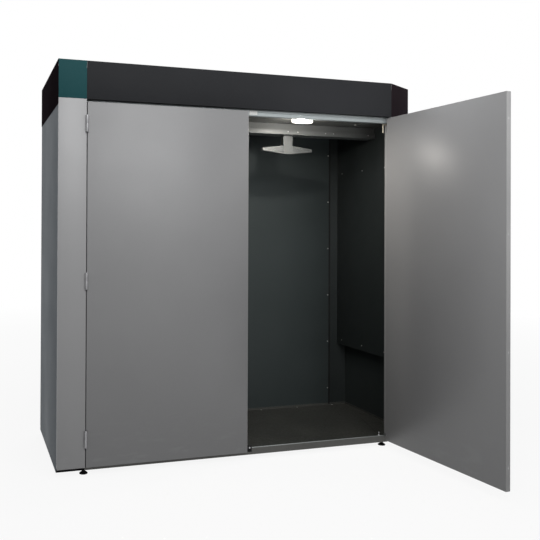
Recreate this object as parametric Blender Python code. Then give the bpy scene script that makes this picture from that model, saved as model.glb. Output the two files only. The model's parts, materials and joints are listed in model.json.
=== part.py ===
"""Two-door gear drying cabinet: a sheet-metal room with a warm air unit on top.

Metres, +Z up. The doors face -Y and +X is to the right of someone who faces them.
The origin is on the floor, under the middle of the box round the whole cabinet with
its right door standing open. The pieces are laid out from the cabinet's left front
foot corner, and one empty moves them all to the origin.
"""

import math

import bmesh
import bpy
from mathutils import Vector

# Fit of touching pieces, and how far a cutter runs past what it cuts
GAP = 0.0003
OVERRUN = 0.004

# Sheet metal
SHEET = 0.0015
DOOR_SKIN = 0.0012

# Cabinet front, from left to right
COLUMN_WIDTH = 0.135
DOOR_WIDTH = 0.821
DOOR_GAP = 0.004
CORNER_FLAT = 0.003
CORNER_WIDTH = 0.183
CORNER_SETBACK = 0.112

# Heights and depths
FOOT_HEIGHT = 0.025
BODY_DEPTH = 0.800
DOOR_RAISE = 0.020
DOOR_HEIGHT = 1.736
FASCIA_SHADOW_GAP = 0.012
SIDE_BAND_DROP = 0.029
ROOF_RECESS = 0.035

# Walls
WALL = 0.021
BACK_WALL = 0.025
COLUMN_DEPTH = 0.060
CORNER_ROOM_DEPTH = 0.155
PANEL_LAP = 0.012
CORNER_LAP = 0.028
SIDE_RETURN = 0.015
BACK_SEAM_RETURN = 0.116
BACK_SEAM_GAP = 0.003

# Doors and hinges
DOOR_THICKNESS = 0.025
DOOR_EDGE_RADIUS = 0.0015
DOOR_CLOSING_GAP = 0.003
RIGHT_DOOR_OPEN_DEG = 95.0
HINGE_HEIGHT = 0.080
HINGE_RADIUS = 0.0065
HINGE_PIN_RADIUS = 0.003
HINGE_PIN_LENGTH = 0.033
HINGE_LEAF = 0.0016
HINGE_LEAF_DEPTH = 0.018
HINGE_STRIP_SETBACK = 0.002
HINGE_TOP_INSET = 0.105
HINGE_BOTTOM_INSET = 0.136

# Base frame and feet
BASE_WALL = 0.002
BASE_RAIL = 0.090
BASE_INSET = 0.004
CROSS_RAIL = 0.050
CROSS_RAIL_SHARES = (0.33, 0.67)
FOOT_FRONT_INSET = 0.061
FOOT_BACK_INSET = 0.060
FOOT_LEFT_INSET = 0.137
FOOT_RIGHT_INSET = 0.197
FOOT_BLOCK = 0.050
PAD_RADIUS = 0.020
PAD_RIM = 0.004
PAD_NECK_RADIUS = 0.0085
PAD_HEIGHT = 0.0165
STEM_RADIUS = 0.005
FOOT_HEX_RADIUS = 0.0095
FOOT_HEX_HEIGHT = 0.005

# Tray
FLOOR_RISE = 0.027
TRAY_RIM = 0.011
TRAY_HEM = 0.005

# Header rail and ceiling
HEADER_HEIGHT = 0.020
HEADER_DEPTH = 0.030
HEADER_LIP = 0.007
DECK_FLANGE_LAP = 0.018
DECK_RIB_WIDTH = 0.014
DECK_RIB_DEPTH = 0.004
DECK_RIB_FROM_FRONT = 0.150
DECK_RIB_FROM_BACK = 0.060

# Side air ducts
DUCT_PROUD = 0.058
DUCT_RAISE = 0.420
DUCT_SETBACK = 0.010

# Hanging beam
BEAM_FROM_BACK = 0.465
BEAM_DEPTH = 0.075
BEAM_UPPER = 0.032
BEAM_LOWER = 0.030
BEAM_LIP = 0.010

# Air posts and arms
POST_FROM_SIDE = 0.628
POST_WIDTH = 0.056
POST_DEPTH = 0.036
POST_DROP = 0.107
POST_WALL = 0.002
POST_FLANGE = 0.010
ARM_LENGTH = 0.126
ARM_ROOT_HEIGHT = 0.048
ARM_TIP_HEIGHT = 0.016
ARM_DEPTH = 0.028
ARM_WALL = 0.0016
ARM_EDGE = 0.003
ARM_HOLE_RADIUS = 0.0035
ARM_HOLE_PITCH = 0.017
ARM_HOLE_COUNT = 6
ARM_ROW_OFFSET = 0.010
ARM_SECOND_ROW_COUNT = 4
ARM_HOLE_SIDES = 8

# Lamps
LAMP_FROM_SIDE = 0.659
LAMP_LENGTH = 0.125
LAMP_WIDTH = 0.055
LAMP_BASE = 0.008
LAMP_LENS = 0.020
LAMP_LENS_INSET = 0.004
LAMP_LENS_EDGE = 0.006
LAMP_SETBACK = 0.110

# Fittings round the opening
CATCH_WIDTH = 0.028
CATCH_HEIGHT = 0.030
CATCH_THICKNESS = 0.0024
CATCH_PLATE = 0.0010
CATCH_OVER_TRAY = 0.010
STUD_BASE_RADIUS = 0.009
STUD_BASE_HEIGHT = 0.012
STUD_NECK_RADIUS = 0.003
STUD_HEAD_RADIUS = 0.0045
STUD_HEIGHT = 0.026
STUD_FROM_JAMB = 0.040
STUD_SETBACK = 0.014
HOOK_RADIUS = 0.004
HOOK_REACH = 0.022
HOOK_DROP = 0.046
HOOK_BEND = 0.007
HOOK_BEND_STEPS = 4

# Top cover
FASCIA_RETURN = 0.026
BAND_RETURN = 0.014
INTAKE_SLOT_COUNT = 14
INTAKE_SLOT_WIDTH = 0.008
INTAKE_SLOT_PITCH = 0.020
INTAKE_SLOT_LENGTH = 0.160

# Fan
FAN_FROM_LEFT = 0.480
FAN_FROM_BACK = 0.205
MOTOR_RADIUS = 0.050
MOTOR_HEIGHT = 0.041
MOTOR_FLANGE_RADIUS = 0.064
MOTOR_FLANGE = 0.0015
MOTOR_COLLAR_RADIUS = 0.014
MOTOR_COLLAR = 0.002
SHAFT_RADIUS = 0.006
SHAFT_LENGTH = 0.026
SCROLL_RAISE = 0.0265
SCROLL_HEIGHT = 0.082
SCROLL_START_RADIUS = 0.130
SCROLL_GROWTH = 0.040
SCROLL_OUTLET_WIDTH = 0.104
SCROLL_OUTLET_REACH = 0.190
SCROLL_STEPS = 30
SCROLL_INLET_RADIUS = 0.090
WHEEL_RADIUS = 0.116
WHEEL_EYE_RADIUS = 0.088
WHEEL_RAISE = 0.003
WHEEL_PLATE = 0.002
WHEEL_HUB_RADIUS = 0.018
WHEEL_HUB_HEIGHT = 0.020
WHEEL_BLADE_HEIGHT = 0.054
WHEEL_RING = 0.002
BLADE_COUNT = 24
BLADE_THICKNESS = 0.0014
BLADE_INSET = 0.0015
BLADE_STEPS = 3
BLADE_SWEEP_DEG = 14.0
BLADE_LEAN_DEG = 10.0

# Heater and plenum
HEATER_ROD_RADIUS = 0.0045
HEATER_RUNS = 8
HEATER_PITCH = 0.025
HEATER_BEND_STEPS = 6
HEATER_WALL_CLEARANCE = 0.006
HEATER_SETBACK = 0.050
HEATER_TERMINAL = 0.014
HEATER_FRONT_CLEARANCE = 0.020
PLENUM_STRIP = 0.088
PLENUM_HEIGHT = 0.112
PLENUM_BRANCH_LENGTH = 0.300
PLENUM_BRANCH_LAP = 0.010
PLENUM_SIDE_CLEARANCE = 0.004

# Filter, control box, collar and gland
FILTER_LENGTH = 0.320
FILTER_WIDTH = 0.200
FILTER_HEIGHT = 0.022
FILTER_FRAME = 0.010
FILTER_PLEATS = 16
FILTER_PLEAT_INSET = 0.003
FILTER_PLEAT_SHEET = 0.0010
FILTER_CLEARANCE = 0.0249
CONTROL_BOX_LENGTH = 0.260
CONTROL_BOX_WIDTH = 0.115
CONTROL_BOX_HEIGHT = 0.100
CONTROL_BOX_CLEARANCE = 0.012
CONTROL_BOX_FROM_RIGHT = 0.480
CONTROL_BOX_EDGE = 0.003
CONTROL_BOX_LID = 0.016
CONTROL_BOX_LID_OVER = 0.0015
COLLAR_RADIUS = 0.0625
COLLAR_WALL = 0.0015
COLLAR_STAND = 0.034
COLLAR_FLANGE = 0.020
COLLAR_FROM_RIGHT = 0.330
COLLAR_FROM_BACK = 0.190
GLAND_RADIUS = 0.012
GLAND_NUT_RADIUS = 0.015
GLAND_NUT_HEIGHT = 0.008
GLAND_HEIGHT = 0.026
GLAND_BORE_RADIUS = 0.006
GLAND_FROM_COLLAR = 0.180

# Control panel on the angled corner
PANEL_WIDTH = 0.110
PANEL_HEIGHT = 0.190
PANEL_PROUD = 0.006
PANEL_EDGE = 0.002
PANEL_CENTRE_HEIGHT = 1.350
DIAL_RADIUS = 0.021
DIAL_HEIGHT = 0.014
DIAL_EDGE = 0.0015
DIAL_FLANGE = 0.003
DIAL_GRIP_COUNT = 18
DIAL_GRIP_RADIUS = 0.0016
DIAL_POINTER_WIDTH = 0.003
DIAL_POINTER_DEPTH = 0.001
DIAL_ABOVE_CENTRE = 0.035
BUTTON_RADIUS = 0.009
BUTTON_PROUD = 0.005
BUTTON_POCKET = 0.0045
BUTTON_STEM = 0.0015
BUTTON_EDGE = 0.001
BUTTON_BELOW_CENTRE = 0.045

# Places along the front
LEFT_DOOR_X = COLUMN_WIDTH + DOOR_GAP
MEETING_X = LEFT_DOOR_X + DOOR_WIDTH + DOOR_GAP / 2
RIGHT_DOOR_END_X = MEETING_X + DOOR_GAP / 2 + DOOR_WIDTH
CORNER_X = RIGHT_DOOR_END_X + DOOR_GAP
CHAMFER_X = CORNER_X + CORNER_FLAT
BODY_WIDTH = CORNER_X + CORNER_WIDTH
LEFT_HINGE_X = COLUMN_WIDTH + DOOR_GAP / 2
RIGHT_HINGE_X = CORNER_X - DOOR_GAP / 2
HINGE_PROUD = HINGE_RADIUS + GAP
SIDE_X = SHEET + GAP

# Places in depth
FRONT_Y = DOOR_THICKNESS + DOOR_CLOSING_GAP
BACK_Y = BODY_DEPTH - BACK_WALL
BEAM_Y = BODY_DEPTH - BEAM_FROM_BACK
BEAM_MIDDLE_Y = BEAM_Y + BEAM_DEPTH / 2
PLENUM_FRONT_Y = BEAM_MIDDLE_Y - PLENUM_STRIP / 2
PLENUM_BACK_Y = BEAM_MIDDLE_Y + PLENUM_STRIP / 2

# Heights above the floor that the cabinet stands on
DOOR_BOTTOM = FOOT_HEIGHT + DOOR_RAISE
DOOR_TOP = DOOR_BOTTOM + DOOR_HEIGHT
FASCIA_BOTTOM = DOOR_TOP + FASCIA_SHADOW_GAP
BAND_BOTTOM = FASCIA_BOTTOM - SIDE_BAND_DROP
FLOOR = FOOT_HEIGHT + FLOOR_RISE
PANEL_BOTTOM = FLOOR - SHEET
BASE_TOP = PANEL_BOTTOM - GAP
CEILING = DOOR_TOP
DECK_TOP = CEILING + SHEET
DECK_SEAT = DECK_TOP + GAP
SCROLL_TOP = DECK_SEAT + SCROLL_RAISE + SCROLL_HEIGHT
ROOF_BOTTOM = SCROLL_TOP + FILTER_CLEARANCE + FILTER_HEIGHT + GAP
ROOF_TOP = ROOF_BOTTOM + SHEET
TOP = ROOF_TOP + ROOF_RECESS

# The angled corner
CORNER_ANGLE = math.atan2(CORNER_SETBACK, BODY_WIDTH - CHAMFER_X)

# Round pieces
SMALL_SIDES = 12
ROUND_SIDES = 24
LARGE_SIDES = 32

FINISHES = {
    "satin_grey": ((0.42, 0.42, 0.43), 0.38, 0.35),
    "side_grey": ((0.13, 0.14, 0.15), 0.45, 0.30),
    "dark_liner": ((0.10, 0.11, 0.11), 0.50, 0.40),
    "galvanised": ((0.45, 0.47, 0.47), 0.42, 0.85),
    "fascia_black": ((0.035, 0.036, 0.038), 0.45, 0.10),
    "fascia_teal": ((0.022, 0.088, 0.098), 0.40, 0.10),
    "corner_black": ((0.028, 0.020, 0.024), 0.45, 0.10),
    "black_plastic": ((0.012, 0.012, 0.013), 0.45, 0.0),
    "steel": ((0.55, 0.55, 0.56), 0.30, 1.0),
    "lens": ((0.95, 0.93, 0.85), 0.25, 0.0),
    "foam": ((0.62, 0.58, 0.45), 0.90, 0.0),
    "filter_white": ((0.75, 0.77, 0.76), 0.90, 0.0),
    "cream": ((0.66, 0.62, 0.52), 0.40, 0.0),
}


def clear_scene():
    """Empties the scene before the cabinet is built."""
    for thing in list(bpy.data.objects):
        bpy.data.objects.remove(thing, do_unlink=True)


def finish(name):
    """The material of that name, made once."""
    if name in bpy.data.materials:
        return bpy.data.materials[name]
    colour, roughness, metallic = FINISHES[name]
    made = bpy.data.materials.new(name)
    made.use_nodes = True
    shader = made.node_tree.nodes["Principled BSDF"]
    shader.inputs["Base Color"].default_value = (*colour, 1.0)
    shader.inputs["Roughness"].default_value = roughness
    shader.inputs["Metallic"].default_value = metallic
    return made


def empty(name, place, parent=None, turn_deg=0.0):
    """An axis marker that carries what is parented to it."""
    marker = bpy.data.objects.new(name, None)
    bpy.context.collection.objects.link(marker)
    marker.location = place
    marker.rotation_euler = (0.0, 0.0, math.radians(turn_deg))
    marker.parent = parent
    return marker


def mesh_from(bm, name):
    """Closes a bmesh into a mesh whose faces point out."""
    bmesh.ops.remove_doubles(bm, verts=bm.verts, dist=1e-7)
    bmesh.ops.recalc_face_normals(bm, faces=bm.faces)
    mesh = bpy.data.meshes.new(name)
    bm.to_mesh(mesh)
    bm.free()
    return mesh


def piece(name, shape, material, parent, place=(0.0, 0.0, 0.0), smooth=False):
    """One named sub-part from a bmesh or a mesh that another copy already has."""
    mesh = shape if isinstance(shape, bpy.types.Mesh) else mesh_from(shape, name)
    made = bpy.data.objects.new(name, mesh)
    bpy.context.collection.objects.link(made)
    if not mesh.materials:
        mesh.materials.append(finish(material))
    if smooth:
        mesh.shade_smooth()
        mesh.set_sharp_from_angle(angle=math.radians(35.0))
    made.parent = parent
    made.location = place
    return made


def combine(target, shape, operation):
    """Cuts a shape from a piece, or joins it on, in the piece's own frame."""
    tool = bpy.data.objects.new(target.name + "_tool", mesh_from(shape, target.name + "_tool"))
    bpy.context.collection.objects.link(tool)
    tool.parent = target.parent
    tool.location = target.location
    tool.hide_render = True
    tool.display_type = "WIRE"
    step = target.modifiers.new(operation.lower(), "BOOLEAN")
    step.operation = operation
    step.solver = "EXACT"
    step.object = tool
    return target


def cut(target, shape):
    """Takes a shape away from a piece."""
    return combine(target, shape, "DIFFERENCE")


def join(target, shape):
    """Adds a shape that overlaps a piece to it."""
    return combine(target, shape, "UNION")


def settled(pattern):
    """The mesh that a pattern's modifiers make, for copies to share; the pattern goes."""
    bpy.context.view_layer.update()
    graph = bpy.context.evaluated_depsgraph_get()
    mesh = bpy.data.meshes.new_from_object(pattern.evaluated_get(graph))
    for step in list(pattern.modifiers):
        bpy.data.objects.remove(step.object, do_unlink=True)
    bpy.data.objects.remove(pattern, do_unlink=True)
    return mesh


def prism(outline, low, high, axis="Z"):
    """A closed outline pushed from low to high along an axis.

    The outline is in XY for Z, in XZ for Y and in YZ for X.
    """
    spots = {
        "X": lambda u, v: (low, u, v),
        "Y": lambda u, v: (u, low, v),
        "Z": lambda u, v: (u, v, low),
    }[axis]
    push = {"X": (high - low, 0, 0), "Y": (0, high - low, 0), "Z": (0, 0, high - low)}[axis]
    bm = bmesh.new()
    face = bm.faces.new([bm.verts.new(spots(u, v)) for u, v in outline])
    grown = bmesh.ops.extrude_face_region(bm, geom=[face])
    moved = [part for part in grown["geom"] if isinstance(part, bmesh.types.BMVert)]
    bmesh.ops.translate(bm, verts=moved, vec=Vector(push))
    bmesh.ops.recalc_face_normals(bm, faces=bm.faces)
    return bm


def rectangle(u0, u1, v0, v1):
    """Corners of an upright rectangle."""
    return [(u0, v0), (u1, v0), (u1, v1), (u0, v1)]


def block(x0, x1, y0, y1, z0, z1):
    """A solid between two corners."""
    return prism(rectangle(x0, x1, y0, y1), z0, z1)


def gather(shapes):
    """Several shapes in one bmesh, each still its own shell."""
    whole = bmesh.new()
    for shape in shapes:
        carrier = bpy.data.meshes.new("gathered")
        bmesh.ops.recalc_face_normals(shape, faces=shape.faces)
        shape.to_mesh(carrier)
        shape.free()
        whole.from_mesh(carrier)
        bpy.data.meshes.remove(carrier)
    return whole


def moved(shape, offset):
    """A shape shifted by an offset."""
    bmesh.ops.translate(shape, verts=shape.verts, vec=Vector(offset))
    return shape


def turned(profile, sides):
    """A profile of (radius, height) points turned round Z."""
    bm = bmesh.new()
    spots = [bm.verts.new((radius, 0.0, height)) for radius, height in profile]
    closed = profile[0][0] > 0.0 and profile[-1][0] > 0.0
    pairs = list(zip(spots, spots[1:]))
    if closed:
        pairs.append((spots[-1], spots[0]))
    edges = [bm.edges.new(pair) for pair in pairs]
    bmesh.ops.spin(
        bm, geom=spots + edges, cent=(0, 0, 0), axis=(0, 0, 1),
        angle=math.tau, steps=sides, use_merge=True,
    )
    bmesh.ops.remove_doubles(bm, verts=bm.verts, dist=1e-6)
    return bm


def cylinder(radius, low, high, sides):
    """An upright cylinder on the Z axis."""
    return turned([(0.0, low), (radius, low), (radius, high), (0.0, high)], sides)


def circle(radius, sides, centre=(0.0, 0.0), start_deg=0.0):
    """Points round a circle."""
    step = math.tau / sides
    start = math.radians(start_deg)
    return [
        (centre[0] + radius * math.cos(start + step * i),
         centre[1] + radius * math.sin(start + step * i))
        for i in range(sides)
    ]


def capsule(length, width, sides):
    """An oblong with round ends, centred."""
    radius = width / 2
    reach = length / 2 - radius
    step = math.pi / sides
    right = [
        (reach + radius * math.cos(step * i - math.pi / 2), radius * math.sin(step * i - math.pi / 2))
        for i in range(sides + 1)
    ]
    return right + [(-u, -v) for u, v in right]


def shifted(points, distance, closed):
    """Points of a path moved to its left by a distance, with mitred corners."""
    count = len(points)
    result = []
    for index, point in enumerate(points):
        normals = []
        for a, b in ((index - 1, index), (index, index + 1)):
            if closed or (a >= 0 and b < count):
                along = Vector(points[b % count]) - Vector(points[a % count])
                normals.append(Vector((-along.y, along.x)).normalized())
        if len(normals) == 2:
            mitre = (normals[0] + normals[1]) / (1.0 + normals[0].dot(normals[1]))
        else:
            mitre = normals[0]
        result.append((point[0] + mitre.x * distance, point[1] + mitre.y * distance))
    return result


def folded(path, thickness=SHEET):
    """Outline of a sheet folded along a path, with its thickness on the path's left."""
    return path + shifted(path, thickness, closed=False)[::-1]


def inset(outline, distance):
    """An outline that runs anticlockwise, drawn in by a distance."""
    return shifted(outline, distance, closed=True)


def bore(radius, sides):
    """Radius of a many-sided hole that clears a round piece by the fit."""
    return (radius + GAP) / math.cos(math.pi / sides)


def mirrored(points):
    """Plan points on the other side of the cabinet, in the same turning sense."""
    return [(BODY_WIDTH - x, y) for x, y in points][::-1]


def room_outline(front_y):
    """Plan of the room between its linings, with the door bay reaching to front_y."""
    return [
        (WALL, COLUMN_DEPTH),
        (COLUMN_WIDTH, COLUMN_DEPTH),
        (COLUMN_WIDTH, front_y),
        (CORNER_X, front_y),
        (CORNER_X, COLUMN_DEPTH),
        (BODY_WIDTH - WALL, CORNER_ROOM_DEPTH),
        (BODY_WIDTH - WALL, BACK_Y),
        (WALL, BACK_Y),
    ]


def chamfer_y(x, inward=0.0):
    """Depth of the angled corner's face, or of a line inside it, at a place along the front."""
    return (x - CHAMFER_X) * math.tan(CORNER_ANGLE) + inward / math.cos(CORNER_ANGLE)


def room_diagonal_y(x):
    """Depth of the wall behind the angled corner at a place along the front."""
    slope = (CORNER_ROOM_DEPTH - COLUMN_DEPTH) / (BODY_WIDTH - WALL - CORNER_X)
    return COLUMN_DEPTH + (x - CORNER_X) * slope


def base_frame(cabinet):
    """Pressed base: a top plate with skirts outside and inside, foot blocks and cross rails."""
    bay_y = FRONT_Y + SHEET + GAP
    left = SIDE_X
    right = BODY_WIDTH - left
    corner_x = CHAMFER_X + (bay_y - chamfer_y(CHAMFER_X, BASE_INSET)) / math.tan(CORNER_ANGLE)
    outer = [
        (left, bay_y),
        (corner_x, bay_y),
        (right, chamfer_y(right, BASE_INSET)),
        (right, BODY_DEPTH - BASE_INSET),
        (left, BODY_DEPTH - BASE_INSET),
    ]
    window = rectangle(
        left + BASE_RAIL, right - BASE_RAIL, bay_y + BASE_RAIL, BODY_DEPTH - BASE_INSET - BASE_RAIL
    )
    low = FOOT_HEIGHT
    below = low - OVERRUN
    under_plate = BASE_TOP - BASE_WALL
    half_wall = BASE_WALL / 2
    frame = piece("base_frame", prism(outer, low, BASE_TOP), "side_grey", cabinet)
    cut(frame, prism(inset(outer, BASE_WALL), below, under_plate))
    join(frame, prism(inset(window, -BASE_WALL), low + half_wall, BASE_TOP - half_wall))
    half = FOOT_BLOCK / 2
    blocks = [
        block(x - half, x + half, y - half, y + half, low + half_wall, BASE_TOP - half_wall)
        for x, y in foot_places()
    ]
    join(frame, gather(blocks))
    cut(frame, prism(window, below, BASE_TOP + OVERRUN))
    front_y = bay_y + BASE_RAIL - half_wall
    back_y = BODY_DEPTH - BASE_INSET - BASE_RAIL + half_wall
    half = CROSS_RAIL / 2
    rails = []
    for share in CROSS_RAIL_SHARES:
        x = left + share * (right - left)
        path = [
            (x - half, low + half_wall),
            (x - half, BASE_TOP - half_wall),
            (x + half, BASE_TOP - half_wall),
            (x + half, low + half_wall),
        ]
        rails.append(prism(folded(path, -BASE_WALL), front_y, back_y, "Y"))
    join(frame, gather(rails))
    bores = [
        prism(
            circle(bore(STEM_RADIUS, ROUND_SIDES), ROUND_SIDES, place), below, BASE_TOP + OVERRUN
        )
        for place in foot_places()
    ]
    cut(frame, gather(bores))
    return frame


def foot_places():
    """Centres of the four feet, in plan."""
    return [
        (x, y)
        for y in (FOOT_FRONT_INSET, BODY_DEPTH - FOOT_BACK_INSET)
        for x in (FOOT_LEFT_INSET, BODY_WIDTH - FOOT_RIGHT_INSET)
    ]


def feet(cabinet):
    """Four levelling feet, each a pad with a hexagon and a stem that goes up into the base."""
    stem_top = BASE_TOP - BASE_WALL
    profile = [
        (0.0, 0.0),
        (PAD_RADIUS, 0.0),
        (PAD_RADIUS, PAD_RIM),
        (PAD_NECK_RADIUS, PAD_HEIGHT - PAD_RIM),
        (PAD_NECK_RADIUS, PAD_HEIGHT),
        (STEM_RADIUS, PAD_HEIGHT),
        (STEM_RADIUS, stem_top),
        (0.0, stem_top),
    ]
    pattern = piece("foot_pattern", turned(profile, ROUND_SIDES), "black_plastic", cabinet, smooth=True)
    hexagon = prism(
        circle(FOOT_HEX_RADIUS, 6), PAD_HEIGHT - PAD_RIM / 2, PAD_HEIGHT + FOOT_HEX_HEIGHT
    )
    join(pattern, hexagon)
    shape = settled(pattern)
    for number, (x, y) in enumerate(foot_places(), start=1):
        axis = empty(f"foot_{number}_axis", (x, y, 0.0), cabinet)
        piece(f"foot_{number}", shape, "black_plastic", axis)


def floor_tray(cabinet):
    """Tray with a rim, a front skirt, a hem along the sill and a stud beside each jamb."""
    outline = inset(room_outline(FRONT_Y - GAP), GAP)
    rim_top = FLOOR + TRAY_RIM
    tray = piece("floor_tray", prism(outline, FLOOR - SHEET, rim_top), "galvanised", cabinet)
    cut(tray, prism(inset(outline, SHEET), FLOOR, rim_top + OVERRUN))
    left = COLUMN_WIDTH + 2 * GAP
    right = CORNER_X - 2 * GAP
    skirt = block(left, right, FRONT_Y, FRONT_Y + SHEET, FOOT_HEIGHT, FLOOR)
    hem = block(left, right, FRONT_Y + SHEET / 2, FRONT_Y + TRAY_HEM, rim_top - SHEET, rim_top - GAP)
    join(tray, gather([skirt, hem]))
    profile = [
        (0.0, -SHEET / 2),
        (STUD_BASE_RADIUS, -SHEET / 2),
        (STUD_BASE_RADIUS, 0.0),
        (STUD_NECK_RADIUS, STUD_BASE_HEIGHT),
        (STUD_NECK_RADIUS, STUD_HEIGHT - 2 * STUD_HEAD_RADIUS),
        (STUD_HEAD_RADIUS, STUD_HEIGHT - 1.5 * STUD_HEAD_RADIUS),
        (STUD_HEAD_RADIUS, STUD_HEIGHT - STUD_HEAD_RADIUS / 2),
        (0.0, STUD_HEIGHT),
    ]
    y = FRONT_Y + TRAY_HEM + STUD_SETBACK
    studs = [
        moved(turned(profile, SMALL_SIDES), (x, y, FLOOR))
        for x in (COLUMN_WIDTH + STUD_FROM_JAMB, CORNER_X - STUD_FROM_JAMB)
    ]
    return join(tray, gather(studs))


def side_panels(cabinet):
    """Outer side panels, folded in at the front and back."""
    low, high = PANEL_BOTTOM, ROOF_BOTTOM - GAP
    front = PANEL_LAP + GAP
    left = [
        (SIDE_X + SIDE_RETURN, BODY_DEPTH),
        (SIDE_X, BODY_DEPTH),
        (SIDE_X, front),
        (SIDE_X + SIDE_RETURN, front),
    ]
    panel = piece("side_panel_left", prism(folded(left), low, high), "side_grey", cabinet)
    notch_x = SIDE_X + SIDE_RETURN + OVERRUN
    notch_y = FASCIA_RETURN + GAP
    cut(panel, block(-OVERRUN, notch_x, 0.0, notch_y, FASCIA_BOTTOM - GAP, TOP))
    front = CORNER_SETBACK + CORNER_LAP + GAP
    right_x = BODY_WIDTH - SIDE_X
    right = [
        (right_x - SIDE_RETURN, front),
        (right_x, front),
        (right_x, BODY_DEPTH),
        (right_x - SIDE_RETURN, BODY_DEPTH),
    ]
    piece("side_panel_right", prism(folded(right), low, high), "side_grey", cabinet)


def liners(cabinet):
    """Room linings: each side is folded round onto the back wall, where the back liner meets it."""
    low, high = PANEL_BOTTOM, CEILING - GAP
    seam = WALL + BACK_SEAM_RETURN
    left = [(WALL, COLUMN_DEPTH + GAP), (WALL, BACK_Y), (seam, BACK_Y)]
    piece("side_liner_left", prism(folded(left), low, high), "dark_liner", cabinet)
    right = [
        (BODY_WIDTH - WALL, CORNER_ROOM_DEPTH + GAP),
        (BODY_WIDTH - WALL, BACK_Y),
        (BODY_WIDTH - seam, BACK_Y),
    ]
    piece("side_liner_right", prism(folded(right, -SHEET), low, high), "dark_liner", cabinet)
    start = seam + BACK_SEAM_GAP
    back = block(start, BODY_WIDTH - start, BACK_Y, BACK_Y + SHEET, low, high)
    piece("back_liner", back, "dark_liner", cabinet)


def back_panel(cabinet):
    """Outer back sheet, let in between the side panels' returns."""
    edge = SIDE_X + SIDE_RETURN + GAP
    sheet = block(
        edge, BODY_WIDTH - edge, BODY_DEPTH - SHEET, BODY_DEPTH, PANEL_BOTTOM, ROOF_BOTTOM - GAP
    )
    return piece("back_panel", sheet, "side_grey", cabinet)


def column_panel(cabinet):
    """Left column: front face, outer lap, door jamb and the wall behind it, folded in one."""
    path = [
        (WALL + GAP, COLUMN_DEPTH),
        (COLUMN_WIDTH, COLUMN_DEPTH),
        (COLUMN_WIDTH, 0.0),
        (SIDE_X, 0.0),
        (SIDE_X, PANEL_LAP),
    ]
    outline = folded(path, -SHEET)
    panel = piece(
        "column_panel_left", prism(outline, DOOR_BOTTOM, FASCIA_BOTTOM - GAP), "satin_grey", cabinet
    )
    behind_front = block(
        -OVERRUN, COLUMN_WIDTH + OVERRUN, SHEET, COLUMN_DEPTH + OVERRUN,
        DOOR_BOTTOM - OVERRUN, PANEL_BOTTOM,
    )
    cut(panel, behind_front)
    return panel


def corner_panel(cabinet):
    """Right corner: jamb, angled face and the wall behind it, folded in one."""
    outer_x = BODY_WIDTH - SIDE_X
    path = [
        (BODY_WIDTH - WALL - GAP, room_diagonal_y(BODY_WIDTH - WALL - GAP)),
        (CORNER_X, COLUMN_DEPTH),
        (CORNER_X, 0.0),
        (CHAMFER_X, 0.0),
        (outer_x, chamfer_y(outer_x)),
        (outer_x, CORNER_SETBACK + CORNER_LAP),
    ]
    return piece(
        "corner_panel_right", prism(folded(path), PANEL_BOTTOM, FASCIA_BOTTOM - GAP), "satin_grey", cabinet
    )


def header_rail(cabinet):
    """Rail over the opening that the doors close against."""
    low, high = CEILING - HEADER_HEIGHT, CEILING - GAP
    back = FRONT_Y + HEADER_DEPTH
    path = [(back, low + HEADER_LIP), (back, low), (FRONT_Y, low), (FRONT_Y, high), (back, high)]
    rail = prism(folded(path, -SHEET), COLUMN_WIDTH + GAP, CORNER_X - GAP, "X")
    return piece("header_rail", rail, "galvanised", cabinet)


def beam_slots():
    """Rectangles where air passes from the beam down into the posts."""
    middle = BEAM_MIDDLE_Y
    wide = POST_WIDTH / 2 - POST_WALL
    deep = POST_DEPTH / 2 - POST_WALL
    return [rectangle(x - wide, x + wide, middle - deep, middle + deep) for x in post_places()]


def post_places():
    """Distances of the two air posts from the cabinet's left side."""
    return (POST_FROM_SIDE, BODY_WIDTH - POST_FROM_SIDE)


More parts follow.
